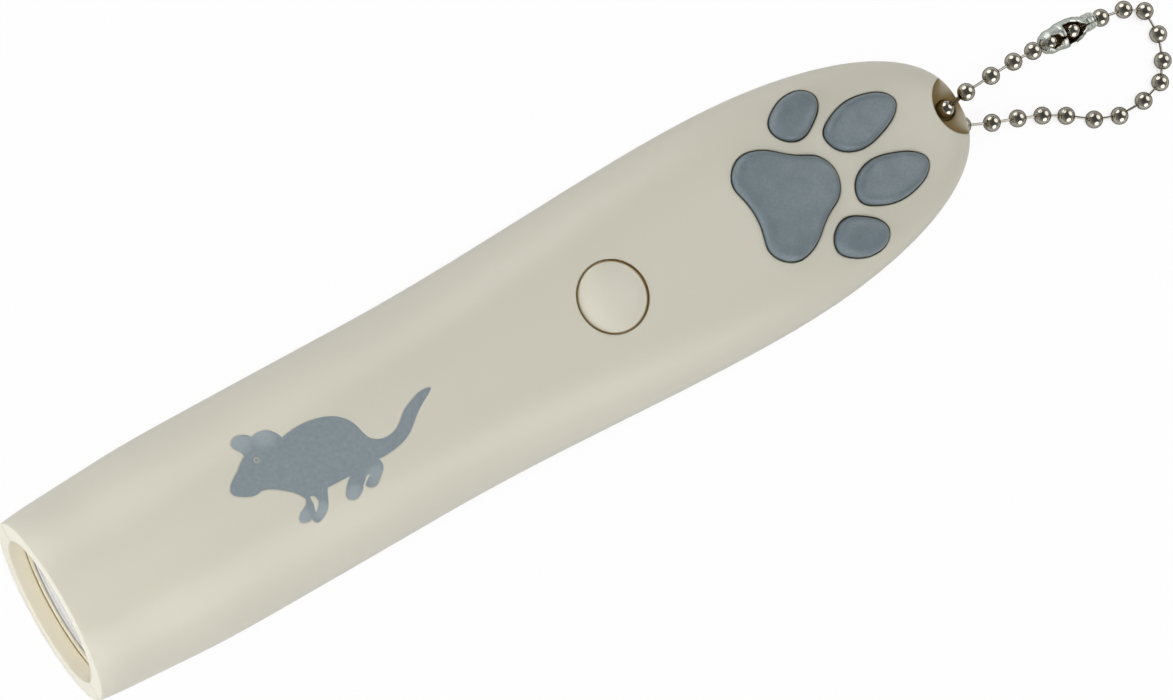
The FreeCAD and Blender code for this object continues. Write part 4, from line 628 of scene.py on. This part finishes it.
# a cream ring inside the eyelet, under the upper bead, hides the floor behind it: a sheet put where the hole shows
# only shade, carrying the cream's painted eyelet shade
plug_hole, plug_edge, plug_foot = 0.7, 1.38, TAIL_RISE - 0.65
shade_plug = turned("eyelet_shade_plug", [
    (plug_hole, plug_foot), (plug_edge, plug_foot), (plug_edge, TAIL_RISE), (plug_hole, TAIL_RISE), (plug_hole, plug_foot),
], spot(EYELET_X, 0, 0))
settle(shade_plug, "body", material=cream)
upper_run = [chain_place(bead) for bead in (TURNING_BEADS[0],) + LOOP_BEADS[:CLASP_FIRST + 1]]
lower_run = [chain_place(bead) for bead in LOOP_BEADS[CLASP_FIRST + 1:] + (TURNING_BEADS[1],)]
loop_marks = [True] * (len(upper_run) + len(lower_run))
chain_loop = grown("loop_chain", [upper_run, lower_run], loop_marks, bead_chain, {"Plating": nickel, "Seed": 7})
settle(chain_loop, "chain_loop", ("chain_beads", "chain_links"))


def clasp_sleeve():
    """The chain's clasp: strip folded round each end bead, open over both, a band between and a ribbed neck."""
    a, b = chain_place(LOOP_BEADS[CLASP_FIRST]), chain_place(LOOP_BEADS[CLASP_FIRST + 1])
    last = (b - a).length / MM
    # along the clasp, radius, and half of the angle that the strip leaves open, in degrees
    stations = (
        (-1.1, 0.95, 8), (-0.85, 1.32, 24), (0.0, 1.6, 42), (0.85, 1.6, 34), (1.35, 1.63, 8), (1.85, 1.76, 6),
        (2.1, 1.8, 56), (2.7, 1.8, 64), (last - 0.4, 1.78, 62), (last + 0.6, 1.64, 46), (last + 1.4, 1.36, 20),
        (last + 1.9, 1.1, 6), (last + 2.15, 1.0, 5), (last + 2.3, 1.18, 5), (last + 2.55, 1.18, 5),
        (last + 2.7, 0.96, 5), (last + 2.85, 1.16, 5), (last + 3.1, 1.16, 5), (last + 3.25, 0.98, 5),
        (last + 3.4, 1.12, 5), (last + 3.58, 1.06, 5),
    )
    across = 56
    lean = math.radians(16)
    shape = bmesh.new()
    rows = []
    for (u0, r0, g0), (u1, r1, g1) in zip(stations, stations[1:]):
        for i in range(5):
            share = i / 5
            eased = share * share * (3 - 2 * share)
            rows.append((u0 + (u1 - u0) * share, r0 + (r1 - r0) * eased, g0 + (g1 - g0) * eased))
    rows.append(stations[-1])
    way = (b - a).normalized()
    side = way.cross(Vector((0, 0, 1))).normalized()
    up = side.cross(way)
    grid = []
    for along, radius, gap in rows:
        row = []
        for i in range(across + 1):
            angle = lean + math.radians(gap) + (2 * math.pi - 2 * math.radians(gap)) * i / across
            offset = (up * math.cos(angle) + side * math.sin(angle)) * radius + way * along
            row.append(shape.verts.new(a + offset * MM))
        grid.append(row)
    for low, high in zip(grid, grid[1:]):
        for i in range(across):
            shape.faces.new((low[i], low[i + 1], high[i + 1], high[i]))
    bmesh.ops.recalc_face_normals(shape, faces=shape.faces)
    middle = a + (b - a) / 2
    first = shape.faces[:][0]
    if first.normal.dot(first.calc_center_median() - middle) < 0:
        bmesh.ops.reverse_faces(shape, faces=shape.faces)
    mesh = bpy.data.meshes.new("clasp_sleeve")
    shape.to_mesh(mesh)
    shape.free()
    mesh.shade_smooth()
    mesh.materials.append(satin_nickel)
    mesh.materials.append(strip_inside)
    sleeve = new_piece("clasp_sleeve", mesh)
    sheet = sleeve.modifiers.new("sheet", "SOLIDIFY")
    sheet.thickness = 0.24 * MM
    sheet.offset = -1.0
    sheet.material_offset = 1
    edges = sleeve.modifiers.new("edges", "BEVEL")
    edges.width = 0.05 * MM
    edges.segments = 2
    edges.limit_method = "ANGLE"
    return settle(sleeve, "chain_loop", ("chain_clasp",))


clasp_sleeve()


# Floor, light and camera

def floor():
    """A plain pale sheet that the toy lies on. It shows white to the camera and through clear pieces, and keeps
    shadows.
    """
    mesh = bpy.data.meshes.new("floor")
    reach = 3.0
    corners = [(-reach, -reach, 0), (reach, -reach, 0), (reach, reach, 0), (-reach, reach, 0)]
    mesh.from_pydata([Vector(c) - spot(0, 0, 0.05) for c in corners], [], [(0, 1, 2, 3)])
    material, tree, _ = empty_material("pale_sheet")
    rays = add(tree, "ShaderNodeLightPath").outputs
    through = add(tree, "ShaderNodeMath", {
        0: rays["Is Camera Ray"], 1: rays["Is Transmission Ray"],
    }, operation="MAXIMUM")
    open_sky = add(tree, "ShaderNodeAmbientOcclusion", {"Distance": 15 * MM}, samples=8)
    clear_of_toy = add(tree, "ShaderNodeMapRange", {
        "Value": open_sky.outputs["AO"], "From Min": 0.2, "From Max": 0.5, "To Min": 0.0, "To Max": 0.97,
    })
    share = add(tree, "ShaderNodeMath", {0: through.outputs[0], 1: clear_of_toy.outputs[0]}, operation="MULTIPLY")
    paper = add(tree, "ShaderNodeBsdfDiffuse", {"Color": colour("DADADA")})
    white = add(tree, "ShaderNodeEmission", {"Color": colour("FFFFFF"), "Strength": 1.0})
    close(tree, add(tree, "ShaderNodeMixShader", {0: share.outputs[0], 1: paper.outputs[0], 2: white.outputs[0]}))
    mesh.materials.append(material)
    new_piece("floor", mesh)


def softbox(name, place, target, size, power, in_gloss, in_matte):
    """A round soft area light that looks at a target; places in metres, power in watts.

    A light can be left out of reflections, or be there for reflections alone."""
    light = bpy.data.lights.new(name, "AREA")
    light.shape = "ELLIPSE"
    light.size = light.size_y = size
    light.energy = power
    lamp = bpy.data.objects.new(name, light)
    lamp.visible_glossy = in_gloss
    lamp.visible_diffuse = in_matte
    bpy.context.scene.collection.objects.link(lamp)
    lamp.location = place
    lamp.rotation_euler = (Vector(target) - Vector(place)).to_track_quat("-Z", "Y").to_euler()


def studio():
    """Four soft boxes low round the toy and a dim room over it, as the highlights on the chain's beads show."""
    world = bpy.data.worlds.new("studio")
    bpy.context.scene.world = world
    world.use_nodes = True
    tree = world.node_tree
    tree.nodes.clear()
    way = add(tree, "ShaderNodeTexCoord")
    height = add(tree, "ShaderNodeSeparateXYZ", {0: way.outputs["Generated"]}).outputs[2]
    strength = add(tree, "ShaderNodeMapRange", {
        "Value": height, "From Min": 0.1, "From Max": 0.95, "To Min": 0.35, "To Max": 0.1,
    }, interpolation_type="SMOOTHSTEP")
    room = add(tree, "ShaderNodeBackground", {"Color": colour("F8F8F6"), "Strength": strength.outputs[0]})
    add(tree, "ShaderNodeOutputWorld", {"Surface": room.outputs[0]})
    target = Vector((-0.01, 0, 0.01))
    # name, heading and rise in degrees, distance and size in metres, power in watts, seen in gloss, lights matter
    boxes = (
        ("left_box", 90, 24, 1.0, 0.86, 2.9, True, True),
        ("right_box", -90, 24, 1.0, 0.86, 3.5, True, True),
        ("mouth_box", 180, 15, 0.6, 0.6, 4.3, False, True),
        ("mouth_glint", 180, 15, 0.6, 0.6, 1.2, True, False),
        ("tail_box", 0, 37, 1.0, 0.86, 2.6, True, True),
    )
    for name, heading, rise, distance, size, power, in_gloss, in_matte in boxes:
        heading, rise = math.radians(heading), math.radians(rise)
        away = Vector((math.cos(heading) * math.cos(rise), math.sin(heading) * math.cos(rise), math.sin(rise)))
        softbox(name, target + away * distance, target, size, power, in_gloss, in_matte)
    softbox("ceiling", target + Vector((0, 0, 1.2)), target, 1.0, 4.4, in_gloss=False, in_matte=True)


PHOTO_WIDTH = 1173
FOCAL_PIXELS = 10201
BODY_IN_PICTURE = (0.87239, 0.48881)


def camera():
    """The photograph's view: from 1.3 m, over the button, tipped towards the mouth and turned in the picture."""
    tilt = math.radians(13.08)
    along = Vector((math.cos(tilt), 0, math.sin(tilt)))
    across = Vector((0, -1, 0))
    towards = Vector((-math.sin(tilt), 0, math.cos(tilt)))
    turn = math.atan2(BODY_IN_PICTURE[1], BODY_IN_PICTURE[0])
    right = along * math.cos(turn) + across * math.sin(turn)
    up = along * math.sin(turn) - across * math.cos(turn)
    target = spot(MOUTH_X + 69.0, 0, 11.0)
    eye = target + towards * 1.3
    lens = bpy.data.cameras.new("camera")
    lens.sensor_width = 36.0
    lens.sensor_fit = "HORIZONTAL"
    lens.lens = lens.sensor_width * FOCAL_PIXELS / PHOTO_WIDTH
    lens.shift_x = 73.0 / PHOTO_WIDTH
    lens.shift_y = 2.4 / PHOTO_WIDTH
    lens.clip_end = 20.0
    view = bpy.data.objects.new("camera", lens)
    bpy.context.scene.collection.objects.link(view)
    view.matrix_world = Matrix((
        (right.x, up.x, towards.x, eye.x),
        (right.y, up.y, towards.y, eye.y),
        (right.z, up.z, towards.z, eye.z),
        (0, 0, 0, 1),
    ))
    bpy.context.scene.camera = view


floor()
studio()
camera()
bpy.context.scene.view_settings.view_transform = "Standard"
